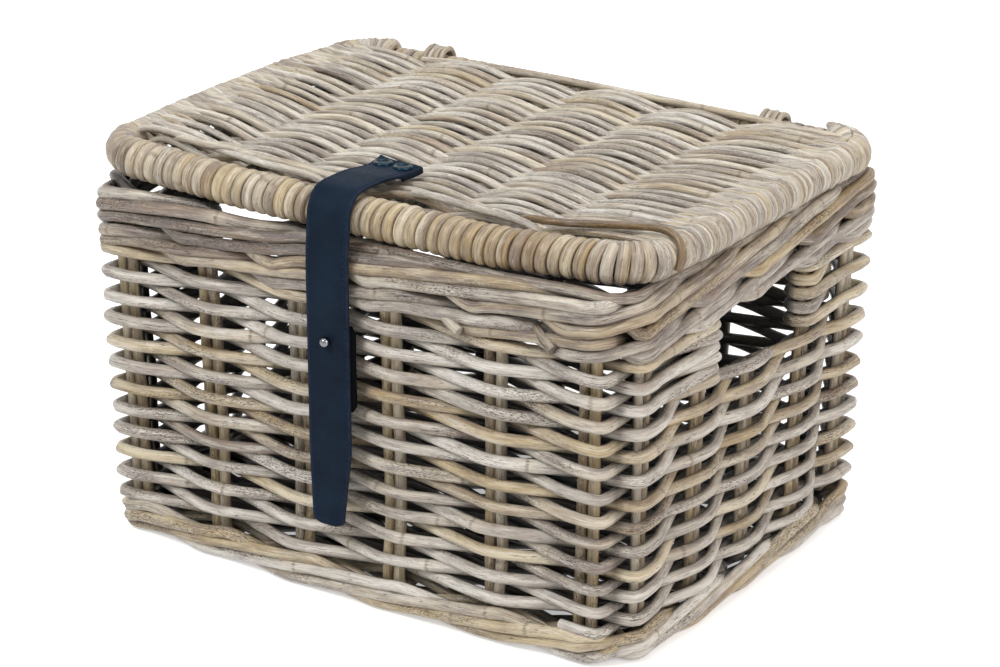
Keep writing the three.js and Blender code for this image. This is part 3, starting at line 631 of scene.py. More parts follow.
def leg(index, side, base, top):
    """Points from the top of a stake down to the start of its run through the base."""
    heights = np.linspace(top, base + BEND + LEG_END, LEG_POINTS)
    wobble = rng.normal(0, LEG_WOBBLE, (LEG_POINTS, 2))
    points = [spot(index, side * PAIR_HALF + a, b * OUT_SHARE, z) for z, (a, b) in zip(heights, wobble)]
    points.append(spot(index, side * PAIR_HALF, -BEND_IN, base + BEND - BEND_DROP))
    return points + [spot(index, side * PAIR_HALF, -BEND - step, base) for step in BASE_RUN]


def stake(bundle, first, opposite, side, base, top, half):
    points = leg(first, side, base, top) + leg(opposite, -side, base, top)[::-1]
    bundle.add(points, half * rng.uniform(0.95, 1.03), rng.uniform(0.1, 0.9), rng.uniform(0.2, 0.9))


stakes = CaneBundle()
stake_nodes = []
for i in range(FRONT_PAIRS):
    for side, letter in ((-1, "a"), (1, "b")):
        stake(stakes, i, STATIONS // 2 + FRONT_PAIRS - 1 - i, side, BASE_Z, STAKE_TOP, STAKE_HALF)
        stake_nodes.append(f"long_stake_{i + 1}{letter}")
for i in range(SIDE_PAIRS):
    top = SILL_Z - SILL_COVER if i == SIDE_PAIRS // 2 else STAKE_TOP
    for side, letter in ((-1, "a"), (1, "b")):
        stake(stakes, FRONT_PAIRS + i, STATIONS - 1 - i, side, CROSS_Z, top, CROSS_HALF)
        stake_nodes.append(f"cross_stake_{i + 1}{letter}")
settle(make_canes(stakes, "wall_stakes", STAKE_FINISH_PAINTED_SHADE, sides=12, step=6.0), "basket", stake_nodes)

# %% [markdown]
# ## Wall weavers
# Two weavers climb the wall together, one passing outside the pairs where the other passes inside. No cane
# is that long, so each is cut to lengths of a metre or two whose ends are tucked behind a pair.

# %% Lower walls
WEAVER_HALF, CREST = 4.0, 8.3
FIRST_ROW, LOWER_ROWS = 27, 17
LOWER_PITCH = (SILL_Z - FIRST_ROW) / LOWER_ROWS
FLOAT_RUN, FLOAT_SHARE = 15.0, 0.76
CORNER_REACH, CORNER_PAST, PAST_SHARE, INNER_SHARE = 7.0, 7, 0.6, 0.9
WEAVER_STEPS = (7, 22)
START_STEPS, START_SLOPE = 6, 0.4


def passing(index, outside, z, crest=CREST, share=FLOAT_SHARE, reach=CORNER_REACH):
    """Points of one cane at one pair: in the middle of it, on both sides, and near a corner short of it."""
    lift, tilt = rng.normal(0, 0.5), rng.normal(0, 0.3)
    swing = (crest if outside else -crest) * rng.uniform(0.93, 1.08)
    corner = station(index, z)[3]
    points = [spot(index, 0, swing, z + lift)]
    for side in (-1, 1):
        if side != corner:
            beside = [spot(index, side * FLOAT_RUN, swing * share, z + lift + side * tilt)]
        elif outside:
            beside = [spot(index, side * reach, swing, z + lift),
                      spot(index, side * (reach + CORNER_PAST), swing * PAST_SHARE, z + lift)]
        else:
            beside = [spot(index, side * reach, -crest * INNER_SHARE, z + lift)]
        points = points + beside if side > 0 else beside[::-1] + points
    return points


def lay_lengths(bundle, steps, shortest, longest, half=WEAVER_HALF):
    """Cuts a list of (inside, points) steps into canes that start and end behind a pair."""
    current, left = [], rng.integers(shortest, longest)
    for inside, points in steps:
        current += points
        left -= 1
        if left <= 0 and inside:
            bundle.add(current, half * rng.uniform(0.9, 1.08))
            tuck = np.array((rng.uniform(-1, 1), rng.uniform(-1, 1), rng.uniform(-1.5, 1.5)))
            current, left = [points[-1] + tuck], rng.integers(shortest, longest)
    if len(current) > 1:
        bundle.add(current, half * rng.uniform(0.9, 1.08))


LAST_STEP = STATIONS * LOWER_ROWS // 2 - SIDE_PAIRS // 2 - 1


def spiral(first):
    for step in range(-START_STEPS, LAST_STEP + 1):
        z = FIRST_ROW + (2 * LOWER_PITCH * step / STATIONS if step > 0 else START_SLOPE * step)
        yield step % 2 == 1, passing(first + step, step % 2 == 0, z)


weavers = CaneBundle()
for first in (0, STATIONS // 2):
    lay_lengths(weavers, spiral(first), *WEAVER_STEPS)
lower_nodes = [f"lower_weaver_{letter}{i}" for letter in "ab" for i in (1, 2)]
settle(make_canes(weavers, "lower_wall_weave", WEAVER_FINISH_PAINTED_SHADE, sides=12, step=4.5), "basket",
       lower_nodes)

# %% [markdown]
# Above the sill the weavers can't cross the handle opening. Each row is wrapped round the last pair before
# the opening, and its end is tucked away inside, so the edges of the opening are stacks of cane loops.

# %% Rows beside the handles
FRONT_LOW, BACK_LOW, PANEL_HIGH = (166.8, 173.2), (171.4, 169.5), 211.4
FRONT_ROWS, BACK_ROWS, PAIRS_ROUND = 6, 5, 2
TURN_REACH, TURN_ANGLES = 7.4, (-55, 0, 55)
TUCK_BEFORE, TUCK_BESIDE = (12, 0.8), (4, 0.4)


def edge_turn(index, side, z):
    """Points from inside the wall, round the last pair before the opening, to its outer face."""
    points = [spot(index - side, side * TUCK_BEFORE[0], -CREST, z - TUCK_BEFORE[1]),
              spot(index, -side * TUCK_BESIDE[0], -CREST, z - TUCK_BESIDE[1])]
    for a in map(math.radians, TURN_ANGLES):
        reach = TURN_REACH * rng.uniform(0.96, 1.06)
        points.append(spot(index, side * (PAIR_HALF + reach * math.cos(a)), reach * math.sin(a), z))
    return points


def panel_row(first, row, low, high):
    """One row from opening to opening, at a height that runs from low to high along the wall."""
    count = FRONT_PAIRS + 2 * PAIRS_ROUND
    heights = np.linspace(low, high, count)
    points = edge_turn(first, -1, low) + [spot(first, 0, CREST, low)]
    for place in range(1, count - 1):
        points += passing(first + place, (place + row) % 2 == 1, heights[place])
    points += [spot(first + count - 1, 0, CREST, high)]
    return points + edge_turn(first + count - 1, 1, high)[::-1]


panels = CaneBundle()
for first, lows, rows in ((STATIONS, FRONT_LOW, FRONT_ROWS), (STATIONS // 2, BACK_LOW, BACK_ROWS)):
    for row in range(rows):
        ends = [low + (PANEL_HIGH - low) * row / (rows - 1) for low in lows]
        panels.add(panel_row(first - PAIRS_ROUND, row, *ends), WEAVER_HALF * rng.uniform(0.95, 1.05))
settle(make_canes(panels, "handle_rows", WEAVER_FINISH_PAINTED_SHADE, sides=12, step=4.0), "basket",
       ["front_weaver", "back_weaver"])

# %% [markdown]
# ## Borders
# The rim and the foot are waled: three or four rods travel together, each passing outside two or three
# pairs and inside one. A rod comes out above the others and sinks below them before it goes in again, which
# gives the border its slanting, rope-like face. The front of the rim sags a little left of the strap. One
# more rod runs inside the top of the rim and fills it, a little higher towards the right front corner.

# %% Rim and foot borders
RIM_HALF, FOOT_HALF = 4.3, 4.2
ROD_SHARE, ROD_WOBBLE, ROD_LEAN, ROD_STEPS = 0.97, 0.5, 0.25, (5, 13)
OFF_FLOOR, LOW_FIRST, RIM_FIRST = 1.2, 13, 14
RIM_DIP, DIP_X, DIP_SPREAD = 3.6, -80, 45


def sag(q, dip):
    """How far the front of the rim sinks at a point."""
    return dip * math.exp(-((q[0] - DIP_X) / DIP_SPREAD) ** 2) * (q[1] < 0)


def wale(bundle, first, levels, reach, inner, turn_z, half, corner=CORNER_REACH, dip=0):
    """One more rod than there are levels: outside, a level further at each pair, then inside one pair."""
    cycle = len(levels) + 1
    slope = (levels[-1] - levels[0]) / (len(levels) - 1)
    for rod in range(cycle):
        steps = [(True, [spot(first - 1, 0, -inner, turn_z)])]
        for step in range(STATIONS):
            phase = (step - rod) % cycle
            if phase == 0:
                steps.append((True, [spot(first + step, 0, -inner, turn_z + rng.normal(0, ROD_WOBBLE))]))
                continue
            z = levels[phase - 1] + rng.normal(0, ROD_WOBBLE)
            points = passing(first + step, True, z, reach[phase - 1], ROD_SHARE, corner)
            lean = np.linspace(-ROD_LEAN, ROD_LEAN, len(points)) * slope
            steps.append((False, [q + np.array((0, 0, d)) for q, d in zip(points, lean)]))
        steps.append((True, [spot(first + STATIONS, 0, -inner, turn_z)]))
        for (_, before), (inside, middle), (_, after) in zip(steps, steps[1:], steps[2:]):
            if inside:
                middle.insert(0, (before[-1] + middle[0]) / 2)
                middle.append((middle[-1] + after[0]) / 2)
        for q in [q for _, points in steps for q in points]:
            q[2] = max(q[2] - sag(q, dip), OFF_FLOOR * half)
        lay_lengths(bundle, steps, *ROD_STEPS, half)


borders = CaneBundle()
wale(borders, LOW_FIRST, levels=(219.6, 227.4), reach=(8.8, 9.4), inner=8.2, turn_z=225, half=RIM_HALF)
wale(borders, RIM_FIRST, levels=(236.4, 244.3, 252.2), reach=(9.8, 9.2, 7.6), inner=6.8, turn_z=252.2,
     half=RIM_HALF, dip=RIM_DIP)

CORE_Z, CORE_REACH, CORE_HALF, CORE_TONE = 250.6, 2.4, 3.9, 0.4
CORE_RISE, RISE_FROM, RISE_RUN = 4.4, -10, 50
CORNER_RISE, CORNER_FROM, CORNER_RISE_RUN, CORNER_Y = 3.0, 110, 60, -90
core = []
for step in range(STATIONS):
    core += passing(RIM_FIRST + step, True, CORE_Z, CORE_REACH, ROD_SHARE)
for q in core:
    q[2] -= sag(q, RIM_DIP)
    q[2] += (CORE_RISE * grow(q[0], RISE_FROM, RISE_RUN)
             + CORNER_RISE * grow(q[0], CORNER_FROM, CORNER_RISE_RUN) * (q[1] < CORNER_Y))
borders.add(core, CORE_HALF, CORE_TONE)
settle(make_canes(borders, "rim_border", BORDER_FINISH_PAINTED_SHADE, sides=12, step=4.5), "basket",
       ["wale_rod", "rim_rod_a", "rim_rod_b"])

foot = CaneBundle()
wale(foot, LOW_FIRST, levels=(4.3, 12.0, 19.6), reach=(7.4, 9.6, 9.2), inner=5.6, turn_z=4.3, half=FOOT_HALF,
     corner=3.0)
settle(make_canes(foot, "foot_border", WEAVER_FINISH_PAINTED_SHADE, sides=12, step=4.5), "basket",
       ["foot_rod", "border_rod"])

# %% [markdown]
# Three cut ends stand out of the front border, where a rod was used up and a new one laid in. Two are paler
# than the weathered skin, and the one near the right corner is dark.

# %% Cut ends
STUB_HALF, STUB_WARM = 3.7, 0.5
STUBS = ((0.1, ((72, -160, 226), (84, -167, 222), (97, -171.5, 217))),
         (0.75, ((146, -160, 229), (157, -167, 225.5), (168, -171.5, 220.5))),
         (0.0, ((34, -150, 250), (34, -158, 253), (34, -166, 255))))
stubs = CaneBundle()
for tone, points in STUBS:
    stubs.add(points, STUB_HALF, tone, STUB_WARM)
settle(make_canes(stubs, "cut_ends", BORDER_FINISH_PAINTED_SHADE, sides=12, step=4.0, uneven=0.04, swell=0.0), "basket")

# %% [markdown]
# ## The base
# The base isn't seen in the photograph. Thin canes are woven to and fro between the stakes that cross it,
# the usual way of such baskets.

# %% Base weave
BASE_HALF, BASE_PITCH, BASE_CREST = 3.1, 6.2, 7.0
BASE_PAST, BASE_EDGE, BASE_GAP = 19, 9, 8.5


def base_rows(low, high):
    """One cane to and fro across the long stakes, between two distances from front to back."""
    bars = [float(station(k, BASE_Z)[0][0]) for k in range(FRONT_PAIRS)]
    points = []
    for row, y in enumerate(np.linspace(low, high, round((high - low) / BASE_PITCH) + 1)):
        line = [(bars[0] - BASE_PAST, y, BASE_Z)]
        for i, x in enumerate(bars):
            line.append((x, y, BASE_Z + (BASE_CREST if (row + i) % 2 == 0 else -BASE_CREST)))
        line.append((bars[-1] + BASE_PAST, y, BASE_Z))
        points += line if row % 2 == 0 else line[::-1]
    return points


base = CaneBundle()
cross = [float(station(FRONT_PAIRS + k, CROSS_Z)[0][1]) for k in range(SIDE_PAIRS)]
edges = [-wall_y(BASE_Z) - BASE_EDGE] + cross + [wall_y(BASE_Z) + BASE_EDGE]
for low, high in zip(edges, edges[1:]):
    base.add(base_rows(low + BASE_GAP, high - BASE_GAP), BASE_HALF)
settle(make_canes(base, "base_weave", WEAVER_FINISH_PAINTED_SHADE, sides=8, step=6.0), "basket",
       [f"base_weave_{i}" for i in range(1, 5)])

# %% [markdown]
# ## The lid's frame
# One thick rod is bent to a rounded rectangle. A helper walks along it, and gives the place and the outward
# direction at any distance, for the canes that are wound round it. The rod is thinner along the back. An
# old lid isn't flat, so every point of the lid goes through one more helper that warps it.

# %% Walk round the frame
LID_Z, LID_CORNER, CORNER_STEPS = 272, 26, 8
ROD_X, ROD_Y, OUTER_FACE = 210.99, 152.29, 9.0


def frame_walk():
    """Corner-rounded ring through the middle of the frame rod, from the middle of the back, anticlockwise."""
    points, outward = [(0, ROD_Y)], [(0, 1)]
    inner_x, inner_y = ROD_X - LID_CORNER, ROD_Y - LID_CORNER
    centres = [(-inner_x, inner_y), (-inner_x, -inner_y), (inner_x, -inner_y), (inner_x, inner_y)]
    for turn, centre in enumerate(centres):
        for step in range(CORNER_STEPS + 1):
            a = math.radians(90 + 90 * turn + 90 * step / CORNER_STEPS)
            outward.append((math.cos(a), math.sin(a)))
            points.append((centre[0] + LID_CORNER * math.cos(a), centre[1] + LID_CORNER * math.sin(a)))
    return np.array(points + points[:1], float), np.array(outward + outward[:1], float)


def run_along(points):
    """Distance along a line at each of its points."""
    return np.concatenate([[0], np.cumsum(np.linalg.norm(np.diff(points, axis=0), axis=1))])


WALK, WALK_OUT = frame_walk()
WALK_AT = run_along(WALK + WALK_OUT * OUTER_FACE)
(BACK_LEFT, LEFT_FROM), (LEFT_TO, FRONT_FROM), (FRONT_TO, RIGHT_FROM), (RIGHT_TO, BACK_RIGHT) = (
    (float(WALK_AT[i]), float(WALK_AT[i + CORNER_STEPS])) for i in range(1, len(WALK_AT) - 1, CORNER_STEPS + 1))


def on_frame(distance):
    at = np.array([np.interp(distance, WALK_AT, WALK[:, i]) for i in (0, 1)])
    out = np.array([np.interp(distance, WALK_AT, WALK_OUT[:, i]) for i in (0, 1)])
    return at, out / np.linalg.norm(out)


# Each part of the warp: how far it moves the lid in x, y and z where it is full.
NEAR_LEFT, FAR_LEFT, LEFT_MIDDLE = (6.5, 0, 4.5), (0, 0, -2.5), (-2.0, 0, 2.5)
NEAR_RIGHT, RIGHT_SIDE = (0, 9.0, 4.0), (2.0, 0, 0)


def lid_bend(p):
    """The lid's warp: both front corners are lifted and drawn in, and the far left one hangs a little."""
    x, y, _ = p
    parts = ((NEAR_LEFT, grow(-x, 90, 115) * grow(-y, -10, 145)),
             (FAR_LEFT, grow(-x, 120, 85) * grow(y, 60, 80)),
             (LEFT_MIDDLE, grow(-x, 100, 100) * max(0, 1 - (y / 140) ** 2)),
             (NEAR_RIGHT, grow(x, 110, 95) * grow(-y, 70, 80)),
             (RIGHT_SIDE, grow(x, 120, 80)))
    return np.array(p) + sum(np.array(move) * share for move, share in parts)


print("frame rod is", round(float(WALK_AT[-1])), "mm round")

# %% [markdown]
# The rod is seen only in gaps, where it looks brown. Six pairs of thin stakes run from front to back between
# its long sides, as the warp that the lid is woven on.

# %% Lid frame and stakes
ROD_HALF, BACK_ROD_HALF, ROD_TONE, ROD_WARM = 7.9, 5.2, 0.7, 0.8
RING_POINTS, RING_TRIM = 120, 0.5
lid_frame = CaneBundle(lid_bend)
ring_at = np.linspace(RING_TRIM, WALK_AT[-1] - RING_TRIM, RING_POINTS)
ring_half = [BACK_ROD_HALF if d < BACK_LEFT or d > BACK_RIGHT else ROD_HALF for d in ring_at]
lid_frame.add([(*on_frame(d)[0], LID_Z) for d in ring_at], ring_half, ROD_TONE, ROD_WARM)
settle(make_canes(lid_frame, "lid_rod", ROD_FINISH, sides=16, step=6.0), "lid", ["lid_frame"])

LID_STAKE_Z, LID_STAKE_HALF, LID_PAIR_HALF = 275, 3.1, 2.6
LID_BARS = (-166, -101, -38, 28, 92, 156)
STAKE_POINTS, STAKE_WOBBLE, RISE_SHARE = 9, 0.6, 0.4
FRONT_SHORT, BACK_SHORT = 10, 8
lid_stakes = CaneBundle(lid_bend)
for x in LID_BARS:
    for side in (-LID_PAIR_HALF, LID_PAIR_HALF):
        ys = np.linspace(-ROD_Y + FRONT_SHORT, ROD_Y - BACK_SHORT, STAKE_POINTS)
        wobble = rng.normal(0, STAKE_WOBBLE, STAKE_POINTS)
        line = [(x + side + w, y, LID_STAKE_Z + w * RISE_SHARE) for y, w in zip(ys, wobble)]
        lid_stakes.add(line, LID_STAKE_HALF)
settle(make_canes(lid_stakes, "lid_stakes", STAKE_FINISH_PAINTED_SHADE, sides=10, step=8.0), "lid",
       [f"lid_stake_{i + 1}" for i in range(len(LID_BARS))])

# %% [markdown]
# ## The lid's weave
# Thin canes run from side to side, over one stake and under the next. At both ends each one goes over the
# side rod, round it and back beneath, so the side rods are covered by the ends, lying close together. The
# front strands would meet the binding there, so they dive down behind it.

# %% Lid weave
LID_CANE_HALF, WRAP_HALF, LID_CREST, UNDER_SHARE, LID_PITCH = 2.85, 2.2, 5.9, 0.9, 6.0
LID_ROWS_FROM, LID_ROWS_TO = -132.0, 140.0
WRAP_REACH, WRAP_WOBBLE = ROD_HALF + LID_CANE_HALF - 0.2, 0.025
WRAP_ANGLES = (118, 90, 60, 25, -10, -45, -80, -115)
DIVE = ((24, 0, 7), (17, -2, -2), (14, -3, -9))
HIDDEN_START = ((30, 5), (17, 9))


def wrap_end(side, y, drift):
    """Points of a strand over the side rod, down its outer face and back beneath it."""
    points = []
    edge = max(abs(y) - (ROD_Y - LID_CORNER), 0)
    inset = LID_CORNER - math.sqrt(max(LID_CORNER ** 2 - edge ** 2, 0))
    for angle in WRAP_ANGLES:
        a = math.radians(angle)
        reach = WRAP_REACH * (1 + WRAP_WOBBLE * rng.normal())
        share = (WRAP_ANGLES[0] - angle) / (WRAP_ANGLES[0] - WRAP_ANGLES[-1])
        points.append((side * (ROD_X - inset + reach * math.cos(a)), y + drift * share,
                       LID_Z + reach * math.sin(a)))
    return points


def strand_end(side, y):
    """Points of a strand past the last stake: round the side rod, or down behind the front binding."""
    if y < -ROD_Y + LID_CORNER:
        return [(side * (ROD_X - inset), y + back, LID_Z + rise) for inset, back, rise in DIVE]
    return wrap_end(side, y, rng.normal(0, 1.0))


def lid_strand(row, y):
    line = []
    for i, x in enumerate(LID_BARS):
        over = (row + i) % 2 == 0
        height = (LID_CREST if over else -LID_CREST * UNDER_SHARE) * rng.uniform(0.9, 1.1)
        line.append((x + rng.normal(0, 1.6), y + rng.normal(0, 0.55), LID_STAKE_Z + height))
    left, right = strand_end(-1, y), strand_end(1, y)
    middle_half = LID_CANE_HALF * rng.uniform(0.8, 1.1)
    halves = [WRAP_HALF] * len(left) + [middle_half] * len(line) + [WRAP_HALF] * len(right)
    return left[::-1] + line + right, halves


def between_wrap(side, y):
    """A short length wound round the side rod between two strands, its start hidden under the weave."""
    (far, far_rise), (near, near_rise) = HIDDEN_START
    start = [(side * (ROD_X - far), y + rng.normal(0, 1), LID_Z + far_rise),
             (side * (ROD_X - near), y, LID_Z + near_rise)]
    return start + wrap_end(side, y, rng.normal(0, 1.0))


lid_weave = CaneBundle(lid_bend)
last = int((LID_ROWS_TO - LID_ROWS_FROM) / LID_PITCH)
for row in range(last + 1):
    y = LID_ROWS_FROM + row * LID_PITCH + rng.normal(0, 0.35)
    lid_weave.add(*lid_strand(row, y))
    if y > -ROD_Y + LID_CORNER and row < last:
        for side in (-1, 1):
            lid_weave.add(between_wrap(side, y + LID_PITCH / 2), WRAP_HALF * rng.uniform(0.85, 1.05))
settle(make_canes(lid_weave, "lid_weave_strands", LID_FINISH, sides=10, step=4.0, uneven=0.08), "lid",
       ["lid_weave"])
print(last + 1, "strands across the lid")

# %% [markdown]
# ## Bindings
# The front and back rods are bound with flat split cane, wound side by side. A winding is a screw line round
# the frame rod; the tree keeps the flat side of the cane turned to the rod. The front binding runs on round
# the left corner and part of the right one. Its cane is nearly round, and that of the back binding is flat.

# %% Bindings round the rods
BINDING_PITCH, BINDING_WIDE, BINDING_THICK, BACK_THICK = 8.8, 8.5, 6.0, 2.6
TURN_STEPS, LONGEST_TURNS, SHORT_END = 14, 7, 20
SLACK, SLACK_ALONG = 0.22, 1.6


def wind(start, end, pitch, half_thick, rod_half):
    """A screw line round the frame rod between two distances along it, with a hand's unevenness."""
    turns = max(round(abs(end - start) / pitch), 1)
    steps = turns * TURN_STEPS
    slack = np.interp(np.arange(steps + 1) / TURN_STEPS, np.arange(turns + 2), rng.normal(0, SLACK, turns + 2))
    points, outward = [], []
    for i in range(steps + 1):
        share = i / steps
        at, out = on_frame(start + (end - start) * share + slack[i] * SLACK_ALONG)
        angle = 2 * math.pi * turns * share + math.pi / 2
        direction = np.array((out[0] * math.cos(angle), out[1] * math.cos(angle), math.sin(angle)))
        points.append(np.array((at[0], at[1], LID_Z)) + direction * (rod_half + half_thick + slack[i]))
        outward.append(direction)
    return points, outward


def wind_in_canes(bundle, start, end, half_thick, rod_half):
    """A binding of several canes, each of a few turns, that start where the one before ends."""
    points, outward = wind(start, end, BINDING_PITCH, half_thick, rod_half)
    cut = 0
    while cut < len(points) - TURN_STEPS:
        stop = min(cut + TURN_STEPS * int(rng.integers(2, LONGEST_TURNS)), len(points) - 1)
        if len(points) - stop < SHORT_END:
            stop = len(points) - 1
        tone, warm = rng.uniform(0.1, 0.75), rng.uniform(0.3, 0.7)
        bundle.add(points[cut:stop + 1], half_thick, tone, warm, outward[cut:stop + 1])
        cut = stop


CORNER_RUN, BOUND_SHARE = FRONT_FROM - LEFT_TO, 0.66
BINDING_START, BINDING_STOP = LEFT_TO - 2, FRONT_TO + CORNER_RUN * BOUND_SHARE
front_binding = CaneBundle(lid_bend)
wind_in_canes(front_binding, BINDING_START, BINDING_STOP, BINDING_THICK / 2, ROD_HALF)
piece = make_canes(front_binding, "front_binding_cane", BINDING_FINISH, sides=14, step=2.4, swell=0.0,
                   flat=BINDING_WIDE / BINDING_THICK)
settle(piece, "lid", ["front_binding_left", "front_binding_right"])

back_binding = CaneBundle(lid_bend)
for start, end in ((BACK_RIGHT, float(WALK_AT[-1])), (0.0, BACK_LEFT)):
    wind_in_canes(back_binding, start, end, BACK_THICK / 2, BACK_ROD_HALF)
piece = make_canes(back_binding, "back_binding_cane", BINDING_FINISH, sides=12, step=2.6, uneven=0.05,
                   swell=0.0, flat=BINDING_WIDE / BACK_THICK)
settle(piece, "lid", ["back_binding"])

# %% [markdown]
# Where the flat binding stops, thin round strands close the corners. They are wound like a binding, but cut
# at every turn, so that each turn has a tone of its own.

# %% Corner strands
CORNER_PITCH = 5.6
CORNER_STRETCHES = ((BINDING_STOP + 1, RIGHT_FROM + 1), (RIGHT_TO - 2, BACK_RIGHT + 2),
                    (BACK_LEFT - 2, LEFT_FROM + 2))
corners = CaneBundle(lid_bend)
for start, end in CORNER_STRETCHES:
    points, _ = wind(start, end, CORNER_PITCH, LID_CANE_HALF, ROD_HALF)
    for cut in range(0, len(points) - TURN_STEPS, TURN_STEPS):
        corners.add(points[cut:cut + TURN_STEPS + 1], LID_CANE_HALF, rng.uniform(0, 0.6))
settle(make_canes(corners, "corner_strands", LID_FINISH, sides=10, step=3.0, uneven=0.05, swell=0.0), "lid")

# %% [markdown]
# ## Loose strands
# Behind the front binding a lacing strand runs along the weave and dips through it, and a few ends have
# come loose. They are drawn point by point, each resting on the strands below it. The one at the
# right front corner is brown, so it is a piece of its own with the finish of the rod.

# %% Lacing and loose strands
LOOSE_HALF, BROWN_HALF, BROWN_TONE, BROWN_WARM = 2.7, 2.5, 0.3, 0.8
# Each strand: its tone, its warmth and its points.
LOOSE = (
    (0.1, 0.2, ((-206, -128, 280), (-190, -131, 286.5), (-168, -131, 287.5), (-140, -133, 286.5),
                (-112, -136, 286.8), (-84, -139, 287), (-60, -139.5, 286.6), (-40, -138.5, 285),
                (-30, -138, 280))),
    (0.3, 0.5, ((-172, -127, 281), (-160, -133, 286.4), (-134, -136, 288.4), (-116, -134.6, 290.6),
                (-99, -133, 288.8), (-58, -131, 286.6), (-36, -131, 285), (-22, -131, 280))),
    (0.2, 0.3, ((30, -126, 284), (52, -131, 287.2), (80, -134, 286.6), (104, -136, 286.8), (126, -137.5, 284),
                (136, -138, 277))),
    (0.3, 0.6, ((-150, 141, 277), (-100, 144, 279.5), (-40, 145, 280.5), (20, 145, 280.5), (80, 144, 280.5),
                (150, 143, 280), (182, 139, 278))),
)
BROWN_PATH = ((108, -126, 280), (122, -131, 286), (138, -133, 287), (156, -131, 287.6), (180, -122, 288),
              (204, -116, 288.4), (219, -118, 285.6), (226, -124, 277), (225.6, -129, 267))
loose, brown = CaneBundle(lid_bend), CaneBundle(lid_bend)
for tone, warm, path in LOOSE:
    loose.add(path, LOOSE_HALF, tone, warm)
brown.add(BROWN_PATH, BROWN_HALF, BROWN_TONE, BROWN_WARM)
settle(make_canes(loose, "loose_strands", LID_FINISH, sides=10, step=4.0, swell=0.0), "lid")
settle(make_canes(brown, "brown_strand", ROD_FINISH, sides=10, step=4.0, swell=0.0), "lid")

# %% [markdown]
# ## Hinge lashings
# Two lashings of thin cane hold the lid. Each turn goes round the back rod of the lid and round the rim
# below it, so the rod can roll in its loops when the lid opens.

# %% Hinge lashings
LASH_X, LASH_TURNS, LASH_HALF, LASH_STEP = 142, 4, 2.05, 4.5
LASH_UPPER, LASH_LOWER, LASH_POINTS, LASH_WOBBLE = 11.6, 13.6, 16, 0.03
LASH_TONE, LASH_WARM = 0.3, 0.3
RIM_Y, RIM_Z = 156.6, 237.5


def lash(middle, name):
    points = []
    for turn in range(LASH_TURNS):
        for i in range(LASH_POINTS):
            angle = 2 * math.pi * i / LASH_POINTS
            upper = math.sin(angle) >= 0
            centre_y, centre_z = (ROD_Y, LID_Z) if upper else (RIM_Y, RIM_Z)
            reach = (LASH_UPPER if upper else LASH_LOWER) * (1 + LASH_WOBBLE * rng.normal())
            x = middle + (turn + i / LASH_POINTS - LASH_TURNS / 2) * LASH_STEP
            points.append((x, centre_y + reach * math.cos(angle), centre_z + reach * math.sin(angle)))
    bundle = CaneBundle()
    bundle.add(points, LASH_HALF, LASH_TONE, LASH_WARM)
    piece = make_canes(bundle, name + "_cane", BINDING_FINISH, sides=10, step=3.0, uneven=0.05, swell=0.0)
    settle(piece, "basket", [name])


lash(-LASH_X, "hinge_lashing_left")
lash(LASH_X, "hinge_lashing_right")

# %% [markdown]
# ## Leather
# The strap is dyed almost black, with a blue cast. Leather has a fine pebbled grain and a low sheen, and
# rubs paler along its edges. The grain is a cell pattern at half a millimetre, and the edges are known from
# an attribute that runs from 0 in the middle of the strap to 1 at its edge.

# %% Leather and thread finishes
GRAIN_SCALE, CLOUD_SCALE, SCRATCH_SCALE = 1500, 42, 260
DYE_THIN, DYE_FULL, RUBBED = 1.22, 0.82, srgb(48, 56, 70)
GRAIN_HEIGHT, CLOUD_HEIGHT = 0.8, 0.6
LEATHER_BUMP, LEATHER_BUMP_DEPTH = 0.4, 0.0003
LEATHER_SHEEN = {"Specular IOR Level": 0.03}


def tinted(color, share):
    return srgb(*(c * share for c in color))


def leather_material(name, color):
    material, tree, shader = new_material(name)
    coords = object_place(tree)
    cells = node(tree, "ShaderNodeTexVoronoi", {"Scale": GRAIN_SCALE}, feature="SMOOTH_F1")
    tree.links.new(coords, cells.inputs["Vector"])
    cloud = noise(tree, coords, CLOUD_SCALE, 4.0, 0.6)
    scratch = noise(tree, coords, SCRATCH_SCALE, 3.0, 0.7)
    dye = ramp(tree, cloud, [(0.25, tinted(color, DYE_FULL)), (0.75, tinted(color, DYE_THIN))])
    edge = limits(tree, attribute(tree, "edge"), 0.9, 1.0, 0.0, 0.5)
    worn = calc(tree, "MULTIPLY", edge, limits(tree, scratch, 0.35, 0.65))
    dye = mix_color(tree, "MIX", worn, dye, RUBBED)
    height = calc(tree, "ADD", calc(tree, "MULTIPLY", cells.outputs["Distance"], GRAIN_HEIGHT),
                  calc(tree, "MULTIPLY", cloud, CLOUD_HEIGHT))
    rough = limits(tree, scratch, 0.2, 0.8, 0.4, 0.58)
    dress(tree, shader, dye, rough, height, LEATHER_BUMP, LEATHER_BUMP_DEPTH)
    fix(shader, LEATHER_SHEEN)
    return material


LEATHER = leather_material("navy_leather", (23, 34, 47))
# Painted shadow: the tab's leather is near black, darker than the strap, for the shadow that the strap casts on
# it.
TAB_LEATHER_PAINTED_SHADOW = leather_material("tab_leather_painted_shadow", (6, 7, 9))
THREAD = leather_material("navy_thread", (32, 44, 72))
print("leather finishes:", [m.name for m in (LEATHER, TAB_LEATHER_PAINTED_SHADOW, THREAD)])

# %% [markdown]
# ## The strap
# One strip of leather, fixed on the lid, bent over the front rod and hanging down the front wall. In the
# solid model it is two stiff parts with a hinge between. Here it is one lofted strip: a rounded section is
# carried along a smooth line, narrower towards the tip. Its end on the lid curls a little and is cut in a
# shallow curve.

